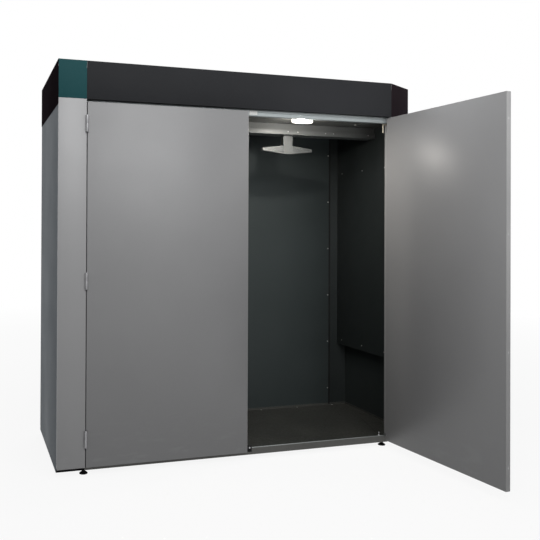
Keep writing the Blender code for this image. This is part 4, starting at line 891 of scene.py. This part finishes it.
def spots_on(facing: Facing, places: list[Place]) -> Spots:
    """Pairs places with the direction that their screws look in.

    Args:
        facing: the direction.
        places: the points.

    Returns:
        Each point with the direction.
    """
    return [(Vector(place), facing.way) for place in places]


@dataclass
class Carcass:
    """The steel body with its linings, tray and base."""

    shop: Shop
    sheet_edge: float = 0.0005
    base_recess: float = 0.002
    base_corner_end: float = 0.96
    base_corner_depth: float = 0.15
    rim_width: float = 0.0040
    lip_thickness: float = 0.0012
    stud_foot: float = 0.0018
    stud_rows: tuple[float, float] = (0.050, 0.080)
    strip_top_gap: float = 0.0006
    strip_foot_gap: float = 0.0004
    seam_width: float = 0.010
    seam_thickness: float = 0.0006
    seam_lift: float = 0.0018
    seam_foot_gap: float = 0.004
    seam_top: float = 1.775
    field_margin: float = 0.020
    field_slope: float = 0.002
    field_depth: float = 0.00081
    back_screw_inset: float = 0.034
    back_screws_across: int = 7
    back_screws_up: int = 8
    wall_screw_inset: float = 0.010
    wall_screw_heights: tuple[float, float, int] = (0.16, 1.66, 6)
    tray_screw_inset: float = 0.014
    tray_screw_end: float = 0.1
    tray_screw_level: float = 0.0017
    tray_screw_count: int = 8
    ceiling_level: float = 0.0002
    ceiling_spots: tuple[tuple[float, float], ...] = (
        (0.221, 0.095), (0.633, 0.090), (0.780, 0.122), (0.361, 0.300), (0.725, 0.259),
    )

    def build(self) -> None:
        """Dresses the carcass and adds its screws."""
        shop = self.shop
        shop.rounded(COLUMN, self.sheet_edge, "column_panel_left", "corner_panel_right")
        shop.rounded(SIDE, self.sheet_edge, "side_panel_left", "side_panel_right")
        shop.rounded(LINER, self.sheet_edge, "side_liner_left", "side_liner_right")
        shop.rounded(CEILING, self.sheet_edge, "ceiling_panel")
        shop.paint(BACK_LINER, "back_liner")
        shop.rounded(HEADER, self.sheet_edge, "header_rail")
        # The base's front faces and angled corner get painted shade for the shadow in the recess under the
        # doors; its other faces keep the side grey
        shop.rounded(SIDE, self.sheet_edge, "base_frame", accents=((PAINTED_SHADE, self.under_front()),))
        self.tray()
        self.header_strip()
        self.seam_strips()
        self.back()
        self.inner_screws()
        self.ceiling_screws()

    def under_front(self) -> Chooser:
        """Gives the test for faces of the base that stand under the doors or the angled corner, which get
        painted shade for the shadow there.

        Returns:
            The test, which takes the middle of a face.
        """
        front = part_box("base_frame")[0].y + self.base_recess
        start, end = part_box("corner_panel_right")[0].x, self.base_corner_end
        depth = self.base_corner_depth
        return lambda middle: middle.y < front or (start < middle.x < end and middle.y < depth)

    def tray(self) -> None:
        """Dresses the tray with its dark front, a painted highlight of bright zinc along the top of the
        lip, and studs.
        """
        shop = self.shop
        shape = shop.copied("floor_tray")
        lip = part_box("floor_tray")[0].y + self.lip_thickness
        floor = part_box("back_liner")[0].z + self.stud_foot
        near, far = self.stud_rows
        # A band this wide along the top of the front lip is cut off and given bright zinc as a painted
        # highlight on the bend
        highlight_level = max(corner.co.z for corner in shape.verts if corner.co.y < lip) - self.rim_width
        everything = shape.verts[:] + shape.edges[:] + shape.faces[:]
        bmesh.ops.bisect_plane(shape, geom=everything, plane_co=(0.0, 0.0, highlight_level), plane_no=Facing.UP.way)
        shop.soften(shape, self.sheet_edge)
        accents = (
            (STEEL, lambda middle: middle.z > floor and near < middle.y < far),
            (TRAY_FRONT, lambda middle: middle.y < lip),
            (ZINC, lambda middle: middle.y < lip and middle.z > highlight_level),
        )
        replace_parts(shop.publish("floor_tray_sheet", shape, TRAY, accents=accents), "floor_tray")

    def header_strip(self) -> None:
        """Adds the bright strip that shows between the rail and the fascia."""
        low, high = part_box("header_rail")
        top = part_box("fascia_front")[0].z - self.strip_top_gap
        size = (high.x - low.x, top - high.z - self.strip_foot_gap, HEADER_STRIP)
        middle = ((low.x + high.x) / 2.0, low.y - HEADER_STRIP / 2.0, (top + high.z) / 2.0)
        self.shop.trim("header_face_strip", size, middle, HEADER)

    def seam_strips(self) -> None:
        """Covers the seams of the back lining with dark strips."""
        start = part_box("back_liner")[0]
        foot = start.z + self.seam_foot_gap
        size = (self.seam_width, self.seam_top - foot, self.seam_thickness)
        for side in SIDES:
            low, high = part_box(f"side_liner_{side}")
            x = high.x if side == "left" else low.x
            middle = (x, start.y - self.seam_lift, (foot + self.seam_top) / 2.0)
            self.shop.trim(f"lining_seam_{side}", size, middle, RUBBER)

    def back(self) -> None:
        """Presses a field into the outer back panel and screws the panel on."""
        shop = self.shop
        shape = shop.copied("back_panel")
        rear = max(shape.faces, key=lambda face: face.normal.y * face.calc_area())
        bmesh.ops.inset_region(shape, faces=[rear], thickness=self.field_margin)
        bmesh.ops.inset_region(shape, faces=[rear], thickness=self.field_slope, depth=-self.field_depth)
        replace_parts(shop.publish("back_panel_pressed", shape, THIN_SIDE), "back_panel")
        low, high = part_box("back_panel")
        y = high.y - self.field_depth
        left, right = low.x + self.back_screw_inset, high.x - self.back_screw_inset
        foot, top = low.z + self.back_screw_inset, high.z - self.back_screw_inset
        places = [(x, y, z) for x in spread(left, right, self.back_screws_across) for z in (foot, top)]
        rows = spread(foot, top, self.back_screws_up)[1:-1]
        places += [(x, y, z) for z in rows for x in (left, right)]
        shop.publish("back_panel_screws", BACK_SCREW.stamp(spots_on(Facing.BACK, places)), STEEL)

    def inner_screws(self) -> None:
        """Adds the screws that hold the linings, seen from the opening."""
        shop = self.shop
        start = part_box("back_liner")[0]
        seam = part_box("side_liner_right")[0].x - self.wall_screw_inset
        rows = spread(*self.wall_screw_heights)
        wall = [(side * seam, start.y, z) for side in BOTH_WAYS for z in rows]
        shop.publish("back_liner_screws", LINING_SCREW.stamp(spots_on(Facing.FRONT, wall)), INNER_SCREW)
        low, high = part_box("floor_tray")
        y, z = high.y - self.tray_screw_inset, start.z + self.tray_screw_level
        across = spread(low.x + self.tray_screw_end, high.x - self.tray_screw_end, self.tray_screw_count)
        edge = [(x, y, z) for x in across]
        shop.publish("tray_edge_screws", LINING_SCREW.stamp(spots_on(Facing.UP, edge)), INNER_SCREW)

    def ceiling_screws(self) -> None:
        """Adds the screws that hold the ceiling's folds, in front of the beam."""
        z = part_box("header_rail")[1].z + self.ceiling_level
        places = [(side * x, y, z) for side in BOTH_WAYS for x, y in self.ceiling_spots]
        screws = CEILING_SCREW.stamp(spots_on(Facing.DOWN, places))
        self.shop.publish("ceiling_screws", screws, INNER_SCREW)


@dataclass
class TopCover:
    """The fascia round the top, the roof and what passes through it."""

    shop: Shop
    sheet_edge: float = 0.0007
    thin_edge: float = 0.0003
    moulded_edge: float = 0.0004
    collar_radius: float = 0.0625
    ring_gap: float = 0.0012
    ring_width: float = 0.017
    ring_height: float = 0.0016
    ring_shoulder: float = 0.7
    ring_chamfer: float = 0.0006
    ring_wall: float = 0.001
    ring_neck: float = 0.002
    ring_sides: int = 48
    ring_screws: int = 8
    ring_screw_reach: float = 0.6
    bead: float = 0.0022
    bead_gap: float = 0.0001
    bead_drop: float = 0.012
    bead_steps: int = 7
    gland_bore: float = 0.0058
    seal_wall: float = 0.0014
    seal_depth: float = 0.006
    seal_sink: float = 0.0004
    seal_dip: float = 0.0012
    seal_sides: int = 24
    roof_inset: float = 0.030
    roof_front_inset: float = 0.034
    roof_front_end: float = 0.80
    roof_side_rows: tuple[float, float] = (0.24, 0.48)
    roof_rear_count: int = 9
    roof_front_count: int = 8

    def build(self) -> None:
        """Dresses the fascia and the roof and adds ring, bead, seal and screws."""
        shop = self.shop
        shop.rounded(TEAL, self.sheet_edge, "fascia_accent")
        shop.rounded(FASCIA, self.sheet_edge, "fascia_front")
        shop.rounded(CORNER, self.sheet_edge, "fascia_corner")
        shop.rounded(SIDE_BAND, self.sheet_edge, "fascia_side_left", "fascia_side_right")
        shop.rounded(THIN_SIDE, self.thin_edge, "roof_panel")
        shop.paint(ZINC, "exhaust_collar")
        shop.rounded(PLASTIC, self.moulded_edge, "cable_gland")
        self.collar()
        self.gland()
        self.roof_screws()

    def collar(self) -> None:
        """Adds the screwed ring round the exhaust collar and the rolled bead on it."""
        shop = self.shop
        low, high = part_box("exhaust_collar")
        middle = (low + high) / 2.0
        roof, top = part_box("roof_panel")[1].z, self.ring_height
        inner, outer = self.collar_radius + self.ring_gap, self.collar_radius + self.ring_width
        profile = [(inner, 0.0), (outer, 0.0), (outer, top * self.ring_shoulder)]
        profile.append((outer - self.ring_chamfer, top))
        profile += [(inner + self.ring_wall, top), (inner, top + self.ring_neck), (inner, 0.0)]
        move = Matrix.Translation((middle.x, middle.y, roof))
        shop.publish("collar_roof_ring", lathed(profile, self.ring_sides, move), ZINC)
        arc = []
        for turn in spread(-math.pi / 2.0, math.pi / 2.0, self.bead_steps):
            reach = self.collar_radius + self.bead_gap + self.bead / 2.0 * math.cos(turn)
            arc.append((reach, self.bead * math.sin(turn)))
        move = Matrix.Translation((middle.x, middle.y, high.z - self.bead_drop))
        shop.publish("collar_bead", lathed(arc, self.ring_sides, move), ZINC)
        reach = self.collar_radius + self.ring_width * self.ring_screw_reach
        places = []
        for step in range(self.ring_screws):
            turn = math.tau * step / self.ring_screws
            x, y = middle.x + reach * math.cos(turn), middle.y + reach * math.sin(turn)
            places.append((x, y, roof + top))
        shop.publish("collar_ring_screws", COLLAR_SCREW.stamp(spots_on(Facing.UP, places)), STEEL)

    def gland(self) -> None:
        """Adds the rubber seal in the mouth of the cable gland."""
        low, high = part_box("cable_gland")
        middle = (low + high) / 2.0
        outer, inner = self.gland_bore, self.gland_bore - self.seal_wall
        profile = [(outer, -self.seal_depth), (outer, -self.seal_sink), (inner, -self.seal_dip)]
        profile += [(inner, -self.seal_depth), (outer, -self.seal_depth)]
        move = Matrix.Translation((middle.x, middle.y, high.z))
        self.shop.publish("gland_seal", lathed(profile, self.seal_sides, move), RUBBER)

    def roof_screws(self) -> None:
        """Screws the roof panel down along its edges."""
        low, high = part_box("roof_panel")
        left, right = low.x + self.roof_inset, high.x - self.roof_inset
        rear, front = high.y - self.roof_inset, low.y + self.roof_front_inset
        places = [(x, rear, high.z) for x in spread(left, right, self.roof_rear_count)]
        across = spread(left, self.roof_front_end, self.roof_front_count)
        places += [(x, front, high.z) for x in across]
        places += [(x, y, high.z) for y in self.roof_side_rows for x in (left, right)]
        self.shop.publish("roof_screws", ROOF_SCREW.stamp(spots_on(Facing.UP, places)), STEEL)


@dataclass
class AirSystem:
    """Fan, heater, ducts and the perforated arms that blow air into the garments."""

    shop: Shop
    sheet_edge: float = 0.0005
    beam_spots: tuple[float, ...] = (0.103, 0.345, 0.405, 0.581, 0.632, 0.860)
    beam_inset: float = 0.016
    post_shift: float = 0.064
    duct_inset: float = 0.06
    duct_foot: float = 0.030
    duct_top: float = 0.240
    duct_columns: int = 3

    def build(self) -> None:
        """Dresses the air system and screws its seen panels on."""
        shop = self.shop
        shop.rounded(LINER, self.sheet_edge, "air_duct_left", "air_duct_right")
        shop.rounded(BEAM, self.sheet_edge, "hanging_beam")
        shop.paint(ZINC, "fan_scroll", "fan_impeller", "air_plenum")
        for side in SIDES:
            shop.paint(ARM, f"air_post_{side}", f"hanger_arm_{side}_outer", f"hanger_arm_{side}_inner")
        shop.paint(STEEL, "fan_motor", "heater_element")
        shop.paint(FLEECE, "air_filter")
        shop.paint(SIDE, "control_box")
        self.beam_screws()
        self.duct_screws()

    def beam_screws(self) -> None:
        """Screws the beam's cover on beside each post and along its front."""
        low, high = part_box("hanging_beam")
        under = []
        for side in SIDES:
            start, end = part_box(f"air_post_{side}")
            middle = (start.x + end.x) / 2.0
            for x in (middle - self.post_shift, middle + self.post_shift):
                under += [(x, low.y + self.beam_inset, low.z), (x, high.y - self.beam_inset, low.z)]
        z = low.z + self.beam_inset
        front = [(side * x, low.y, z) for side in BOTH_WAYS for x in self.beam_spots]
        spots = spots_on(Facing.DOWN, under) + spots_on(Facing.FRONT, front)
        self.shop.publish("beam_screws", COVER_SCREW.stamp(spots), INNER_SCREW)

    def duct_screws(self) -> None:
        """Screws the duct panels to the side walls near both ends."""
        spots = []
        for side, facing in zip(SIDES, (Facing.RIGHT, Facing.LEFT)):
            low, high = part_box(f"air_duct_{side}")
            x = high.x if facing is Facing.RIGHT else low.x
            columns = spread(low.y + self.duct_inset, high.y - self.duct_inset, self.duct_columns)
            rows = (low.z + self.duct_foot, high.z - self.duct_top)
            spots += spots_on(facing, [(x, y, z) for y in columns for z in rows])
        self.shop.publish("duct_screws", COVER_SCREW.stamp(spots), INNER_SCREW)


@dataclass
class Door:
    """One insulated door with its hinge strip."""

    shop: Shop
    side: str
    sheet_edge: float = 0.0012
    inner_edge: float = 0.0004
    hinge_edge: float = 0.0003
    knuckle_depth: float = 0.0131
    thickness: float = 0.025
    screw_heights: tuple[float, ...] = (1.663, 1.159, 0.646, 0.146)

    def build(self) -> None:
        """Dresses the door and adds the screws in its free edge."""
        shop = self.shop
        free_edge = (DOOR_EDGE, self.at_free_edge())
        shop.rounded(SATIN, self.sheet_edge, f"door_{self.side}_shell", steps=3, accents=(free_edge,))
        shop.rounded(SATIN, self.inner_edge, f"door_{self.side}_inner_panel")
        shop.paint(FOAM, f"door_{self.side}_core")
        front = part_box(f"hinge_strip_{self.side}")[0].y + self.knuckle_depth
        knuckle = (KNUCKLE, lambda middle: middle.y < front)
        # The left door's hinge strip and leaf get painted shade for the dark gap beside the column; the
        # right door's keep the metals' own colours
        strip, leaf = (PAINTED_SHADE, PAINTED_SHADE) if self.side == "left" else (ZINC, STEEL)
        shop.rounded(strip, self.hinge_edge, f"hinge_strip_{self.side}", accents=(knuckle,))
        shop.rounded(leaf, self.hinge_edge, f"door_{self.side}_hinge_strip", accents=(knuckle,))
        self.edge_screws()

    def free_edge(self) -> tuple[Vector, Vector]:
        """Finds the free edge of the door where it stands in the model.

        Both doors are alike, so the left one, which is shut in the model, gives the size of both.

        Returns:
            The edge's middle at floor height, and the direction that the edge looks in.
        """
        low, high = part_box("door_left_shell")
        width = high.x - Vector(self.shop.joints["door_left_hinge"]["pos_m"]).x
        hinge = self.shop.joints[f"door_{self.side}_hinge"]
        pivot = Vector(hinge["pos_m"])
        way = Facing.RIGHT.way if self.side == "left" else Facing.LEFT.way
        shut = Vector((pivot.x + way.x * width, low.y + self.thickness / 2.0, 0.0))
        swing = Matrix.Rotation(math.radians(-hinge["range_deg"][0]), 3, Vector(hinge["axis"]))
        return swing @ (shut - pivot) + pivot, swing @ way

    def at_free_edge(self) -> Chooser:
        """Gives the test for faces that lie on the door's free edge.

        Returns:
            The test, which takes the middle of a face.
        """
        edge, way = self.free_edge()
        depth = 2.0 * self.sheet_edge
        return lambda middle: (middle - edge).dot(way) > -depth

    def edge_screws(self) -> None:
        """Adds the screws in the door's free edge."""
        edge, way = self.free_edge()
        spots = [(Vector((edge.x, edge.y, z)), way) for z in self.screw_heights]
        name, body = f"door_{self.side}_edge_screws", f"door_{self.side}"
        self.shop.publish(name, DOOR_SCREW.stamp(spots), STEEL, body)


@dataclass
class DoorFittings:
    """What the doors meet: catches, corner hook, and the blank plate on the header rail."""

    shop: Shop
    catch_edge: float = 0.0004
    screw_inset: float = 0.012
    screw_height: float = 0.022
    plate_size: Place = (0.044, 0.021, 0.0006)
    plate_x: float = 0.010
    plate_drop: float = 0.0040

    def build(self) -> None:
        """Dresses the fittings and adds catch screws and the blank plate."""
        shop = self.shop
        shop.rounded(PLASTIC, self.catch_edge, "door_catches")
        shop.paint(CREAM, "corner_hook")
        low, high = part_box("door_catches")
        ends = (low.x + self.screw_inset, high.x - self.screw_inset)
        places = [(x, low.y, low.z + self.screw_height) for x in ends]
        shop.publish("catch_screws", CATCH_SCREW.stamp(spots_on(Facing.FRONT, places)), STEEL)
        low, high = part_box("header_rail")
        y = low.y - HEADER_STRIP - self.plate_size[2] / 2.0
        middle = (self.plate_x, y, high.z - self.plate_drop)
        shop.trim("header_blank_plate", self.plate_size, middle, WHITE_PLATE)


@dataclass
class Lamps:
    """The two oblong lamps under the ceiling."""

    shop: Shop
    housing_edge: float = 0.0006
    lens_edge: float = 0.003
    lens_steps: int = 4

    def build(self) -> None:
        """Dresses the lamps."""
        for side in SIDES:
            self.shop.rounded(PLASTIC, self.housing_edge, f"lamp_housing_{side}")
            self.shop.rounded(OPAL, self.lens_edge, f"lamp_lens_{side}", steps=self.lens_steps)


@dataclass
class Controls:
    """The panel on the angled corner with its dial and button."""

    shop: Shop
    edge: float = 0.0003
    corner_width: float = 0.180
    corner_depth: float = 0.112
    scale_radius: float = 0.0265
    number_radius: float = 0.0345
    number_size: float = 0.0072
    first_mark_deg: float = 225.0
    last_mark_deg: float = -45.0
    number_count: int = 7
    marks_per_number: int = 4
    long_mark: float = 0.0030
    short_mark: float = 0.0016
    mark_width: float = 0.0005
    print_height: float = 0.00012
    ring_radius: float = 0.0125
    ring_width: float = 0.0018
    ring_height: float = 0.0012
    ring_chamfer: float = 0.0004
    ring_sides: int = 40

    def build(self) -> None:
        """Dresses the controls and prints the dial's scale."""
        shop = self.shop
        shop.rounded(PLASTIC, self.edge, "control_panel")
        shop.rounded(PLASTIC, self.edge, "program_dial")
        shop.rounded(TEAL, self.edge, "start_button")
        self.scale()
        self.button_ring()

    def on_panel(self, node: str) -> Matrix:
        """Gives the frame of the panel's face under a round control.

        Args:
            node: the control.

        Returns:
            A frame whose z points out of the panel and whose y points up.
        """
        angle = math.atan2(self.corner_depth, self.corner_width)
        out = Vector((math.sin(angle), -math.cos(angle), 0.0))
        across = Vector((math.cos(angle), math.sin(angle), 0.0))
        low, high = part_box(node)
        centre = (low + high) / 2.0
        face = self.shop.far_side("control_panel", out)
        centre += out * (face - centre.dot(out))
        turn = Matrix((across, Facing.UP.way, out)).transposed().to_4x4()
        return Matrix.Translation(centre) @ turn

    def scale(self) -> None:
        """Prints marks and numbers round the dial."""
        face = self.on_panel("program_dial")
        marks = bmesh.new()
        steps = (self.number_count - 1) * self.marks_per_number
        for step, turn in enumerate(spread(self.first_mark_deg, self.last_mark_deg, steps + 1)):
            length = self.long_mark if step % self.marks_per_number == 0 else self.short_mark
            spin = Matrix.Rotation(math.radians(turn), 4, "Z")
            move = Matrix.Translation((self.scale_radius + length / 2.0, 0.0, self.print_height / 2.0))
            plate(marks, (length, self.mark_width, self.print_height), PRINT_EDGE, face @ spin @ move)
        self.shop.publish("dial_scale_marks", marks, PRINT)
        digits = bmesh.new()
        for number, turn in enumerate(spread(self.first_mark_deg, self.last_mark_deg, self.number_count)):
            angle = math.radians(turn)
            at = Vector((math.cos(angle), math.sin(angle), 0.0)) * self.number_radius
            self.print_text(digits, str(number), face @ Matrix.Translation(at))
        self.shop.publish("dial_scale_numbers", digits, PRINT)

    def print_text(self, shape: Shape, text: str, move: Matrix) -> None:
        """Adds flat lettering.

        Args:
            shape: the shape to add to.
            text: what it says.
            move: where its middle goes.
        """
        curve = bpy.data.curves.new("lettering", type="FONT")
        curve.body = text
        curve.size = self.number_size
        curve.align_x = "CENTER"
        curve.align_y = "CENTER"
        curve.extrude = self.print_height
        holder = bpy.data.objects.new("lettering", curve)
        bpy.context.scene.collection.objects.link(holder)
        bpy.context.view_layer.update()
        flat = bpy.data.meshes.new_from_object(holder.evaluated_get(bpy.context.evaluated_depsgraph_get()))
        before = len(shape.verts)
        shape.from_mesh(flat)
        shape.verts.ensure_lookup_table()
        bmesh.ops.transform(shape, matrix=move, verts=shape.verts[before:])
        bpy.data.objects.remove(holder)
        bpy.data.curves.remove(curve)
        bpy.data.meshes.remove(flat)

    def button_ring(self) -> None:
        """Adds the bright ring round the start button."""
        inner, outer, chamfer = self.ring_radius - self.ring_width, self.ring_radius, self.ring_chamfer
        profile = [(inner, 0.0), (outer, 0.0), (outer - chamfer, self.ring_height)]
        profile += [(inner + chamfer, self.ring_height), (inner, 0.0)]
        ring = lathed(profile, self.ring_sides, self.on_panel("start_button"))
        self.shop.publish("button_ring", ring, STEEL)


@dataclass
class Feet:
    """The four levelling feet."""

    shop: Shop
    edge: float = 0.0004
    count: int = 4

    def build(self) -> None:
        """Dresses the feet."""
        for number in range(1, self.count + 1):
            self.shop.rounded(PLASTIC, self.edge, f"foot_{number}")


def seen(tree: bpy.types.NodeTree) -> Socket:
    """Adds nodes that tell the rays that show a surface from those that only light the part.

    Args:
        tree: the nodes to add to.

    Returns:
        The socket that is 1 for camera, glossy and transmission rays.
    """
    path = tree.nodes.new("ShaderNodeLightPath")
    total = path.outputs["Is Camera Ray"]
    for name in ("Is Glossy Ray", "Is Transmission Ray"):
        either = tree.nodes.new("ShaderNodeMath")
        either.operation = "MAXIMUM"
        tree.links.new(total, either.inputs[0])
        tree.links.new(path.outputs[name], either.inputs[1])
        total = either.outputs[0]
    return total


def hang_light(light: bpy.types.Light, move: Matrix) -> None:
    """Hangs a lamp that the camera itself doesn't see.

    Args:
        light: the lamp.
        move: where it hangs and how it is turned.
    """
    holder = bpy.data.objects.new(light.name, light)
    bpy.context.scene.collection.objects.link(holder)
    holder.visible_camera = False
    holder.matrix_world = move


@dataclass(frozen=True)
class SoftLamp:
    """An oblong soft lamp."""

    name: str
    place: Place
    aim: Place
    size: tuple[float, float]
    power: float
    spread_deg: float = 180.0
    colour: Colour = (1.0, 1.0, 1.0)

    def hang(self) -> None:
        """Hangs the lamp so that it looks at its aim."""
        light = bpy.data.lights.new(f"{self.name}_lamp", type="AREA")
        light.shape = "RECTANGLE"
        light.color = self.colour
        light.size, light.size_y = self.size
        light.energy = self.power
        light.spread = math.radians(self.spread_deg)
        toward = Vector(self.aim) - Vector(self.place)
        turn = toward.to_track_quat("-Z", "Y").to_matrix().to_4x4()
        hang_light(light, Matrix.Translation(self.place) @ turn)


FRONT_LAMPS = (
    SoftLamp("key", (-0.3, -2.9, 3.20), (0.0, 0.0, 1.40), (3.2, 2.0), 82.0),
    SoftLamp("door", (0.25, -0.50, 2.30), (0.84, -0.40, 1.80), (0.4, 0.4), 0.40, spread_deg=60.0),
    SoftLamp("opening", (0.42, -1.60, 1.10), (0.45, 0.40, 1.86), (0.4, 0.4), 0.34, spread_deg=32.0),
    SoftLamp("side", (-4.6, 0.4, 1.9), (-0.9, 0.4, 0.9), (2.4, 2.4), 24.0),
)
REAR_LAMPS = (
    SoftLamp("fill", (2.9, -2.6, 2.4), (0.2, 0.0, 0.9), (2.2, 2.2), 9.0),
    SoftLamp("back", (0.4, 3.6, 3.0), (0.0, 0.4, 1.2), (2.0, 2.0), 40.0),
)


@dataclass
class Studio:
    """Floor, lamps, background and camera."""

    camera_place: Place = (-1.3806, -3.3556, 1.1629)
    yaw_deg: float = 17.215
    pitch_deg: float = 0.318
    roll_deg: float = 0.253
    lens: float = 47.504
    sensor: float = 36.0
    shift_x: float = 0.1481
    shift_y: float = -0.0776
    floor_radius: float = 30.0
    floor_sides: int = 96
    floor_colours: tuple[float, float] = (0.86, 0.90)
    floor_glow: float = 0.90
    floor_bounce: float = 0.12
    white_from: float = 1.8
    white_to: float = 8.0
    world_light: float = 0.15
    warm: Colour = (1.0, 0.95, 0.88)
    inner_power: float = 2.8
    inner_drop: float = 0.002
    bulb_power: float = 2.2
    bulb_radius: float = 0.010
    bulb_drop: float = 0.012

    def build(self) -> None:
        """Sets up the studio."""
        self.floor()
        self.background()
        for lamp in FRONT_LAMPS:
            lamp.hang()
        for side in SIDES:
            self.inner_lamp(side)
        for lamp in REAR_LAMPS:
            lamp.hang()
        self.camera()
        bpy.context.scene.view_settings.view_transform = "Standard"

    def floor(self) -> None:
        """Lays a pale floor that turns plain white further off."""
        shape = bmesh.new()
        bmesh.ops.create_circle(
            shape, cap_ends=True, segments=self.floor_sides, radius=self.floor_radius
        )
        mesh = bpy.data.meshes.new("floor")
        shape.to_mesh(mesh)
        shape.free()
        pen = Pen("pale_floor")
        far = pen.node("ShaderNodeVectorMath", {0: pen.place}, operation="LENGTH").outputs["Value"]
        white = pen.span(far, self.white_from, self.white_to, self.floor_glow, 1.0)
        darker, lighter = self.floor_colours
        tint = pen.blend(pen.noise(FLOOR_PATCHES), (darker,) * 3, (lighter,) * 3)
        near = pen.node("ShaderNodeBsdfDiffuse", {"Color": tint})
        plain = pen.node("ShaderNodeEmission", {"Color": WHITE, "Strength": 1.0})
        mix = pen.node("ShaderNodeMixShader", {0: white, 1: near.outputs[0], 2: plain.outputs[0]})
        dull = pen.node("ShaderNodeBsdfDiffuse", {"Color": (self.floor_bounce,) * 3 + (1.0,)})
        whole = pen.node("ShaderNodeMixShader", {0: seen(pen.tree), 1: dull.outputs[0], 2: mix.outputs[0]})
        pen.node("ShaderNodeOutputMaterial", {"Surface": whole.outputs[0]})
        mesh.materials.append(pen.material)
        ground = bpy.data.objects.new("floor", mesh)
        bpy.context.scene.collection.objects.link(ground)

    def background(self) -> None:
        """Makes the background white and keeps its light plain."""
        world = bpy.data.worlds.new("studio")
        bpy.context.scene.world = world
        world.use_nodes = True
        tree = world.node_tree
        tree.nodes.clear()
        mix = tree.nodes.new("ShaderNodeMixShader")
        for index, strength in ((1, self.world_light), (2, 1.0)):
            sky = tree.nodes.new("ShaderNodeBackground")
            sky.inputs["Color"].default_value = WHITE
            sky.inputs["Strength"].default_value = strength
            tree.links.new(sky.outputs[0], mix.inputs[index])
        tree.links.new(seen(tree), mix.inputs[0])
        tree.links.new(mix.outputs[0], tree.nodes.new("ShaderNodeOutputWorld").inputs["Surface"])

    def inner_lamp(self, side: str) -> None:
        """Lights one of the cabinet's own lamps, downward and, more weakly, all round.

        Args:
            side: "left" or "right".
        """
        low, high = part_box(f"lamp_lens_{side}")
        middle = (low + high) / 2.0
        place = (middle.x, middle.y, low.z - self.inner_drop)
        size = (high.x - low.x, high.y - low.y)
        down = (middle.x, middle.y, 0.0)
        SoftLamp(f"inner_{side}", place, down, size, self.inner_power, colour=self.warm).hang()
        bulb = bpy.data.lights.new(f"inner_{side}_halo_lamp", type="POINT")
        bulb.color = self.warm
        bulb.shadow_soft_size = self.bulb_radius
        bulb.energy = self.bulb_power
        hang_light(bulb, Matrix.Translation((middle.x, middle.y, low.z - self.bulb_drop)))

    def camera(self) -> None:
        """Sets the camera at the photograph's place and angle."""
        yaw, pitch, roll = (math.radians(a) for a in (self.yaw_deg, self.pitch_deg, self.roll_deg))
        level = Vector((math.sin(yaw), math.cos(yaw), 0.0))
        right = Vector((math.cos(yaw), -math.sin(yaw), 0.0))
        up = Facing.UP.way
        ahead = level * math.cos(pitch) + up * math.sin(pitch)
        above = up * math.cos(pitch) - level * math.sin(pitch)
        side = right * math.cos(roll) + above * math.sin(roll)
        over = above * math.cos(roll) - right * math.sin(roll)
        optics = bpy.data.cameras.new("camera")
        optics.sensor_width = self.sensor
        optics.lens = self.lens
        optics.shift_x = self.shift_x
        optics.shift_y = self.shift_y
        view = bpy.data.objects.new("camera", optics)
        bpy.context.scene.collection.objects.link(view)
        turn = Matrix((side, over, -ahead)).transposed().to_4x4()
        view.matrix_world = Matrix.Translation(self.camera_place) @ turn
        bpy.context.scene.camera = view


def main() -> None:
    """Builds every sub-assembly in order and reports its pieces."""
    logging.basicConfig(level=logging.INFO, format="%(name)s %(message)s")
    for item in list(bpy.data.objects):
        bpy.data.objects.remove(item, do_unlink=True)
    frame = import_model()
    shop = Shop(frame["nodes"], {joint["name"]: joint for joint in frame["joints"]})
    assemblies = (
        Carcass(shop),
        TopCover(shop),
        AirSystem(shop),
        Door(shop, "left"),
        Door(shop, "right"),
        DoorFittings(shop),
        Lamps(shop),
        Controls(shop),
        Feet(shop),
    )
    for assembly in assemblies:
        count = len(shop.made)
        assembly.build()
        for name in shop.made[count:]:
            LOG.info("%s: %s", type(assembly).__name__, name)
    Studio().build()


if __name__ == "__main__":
    main()
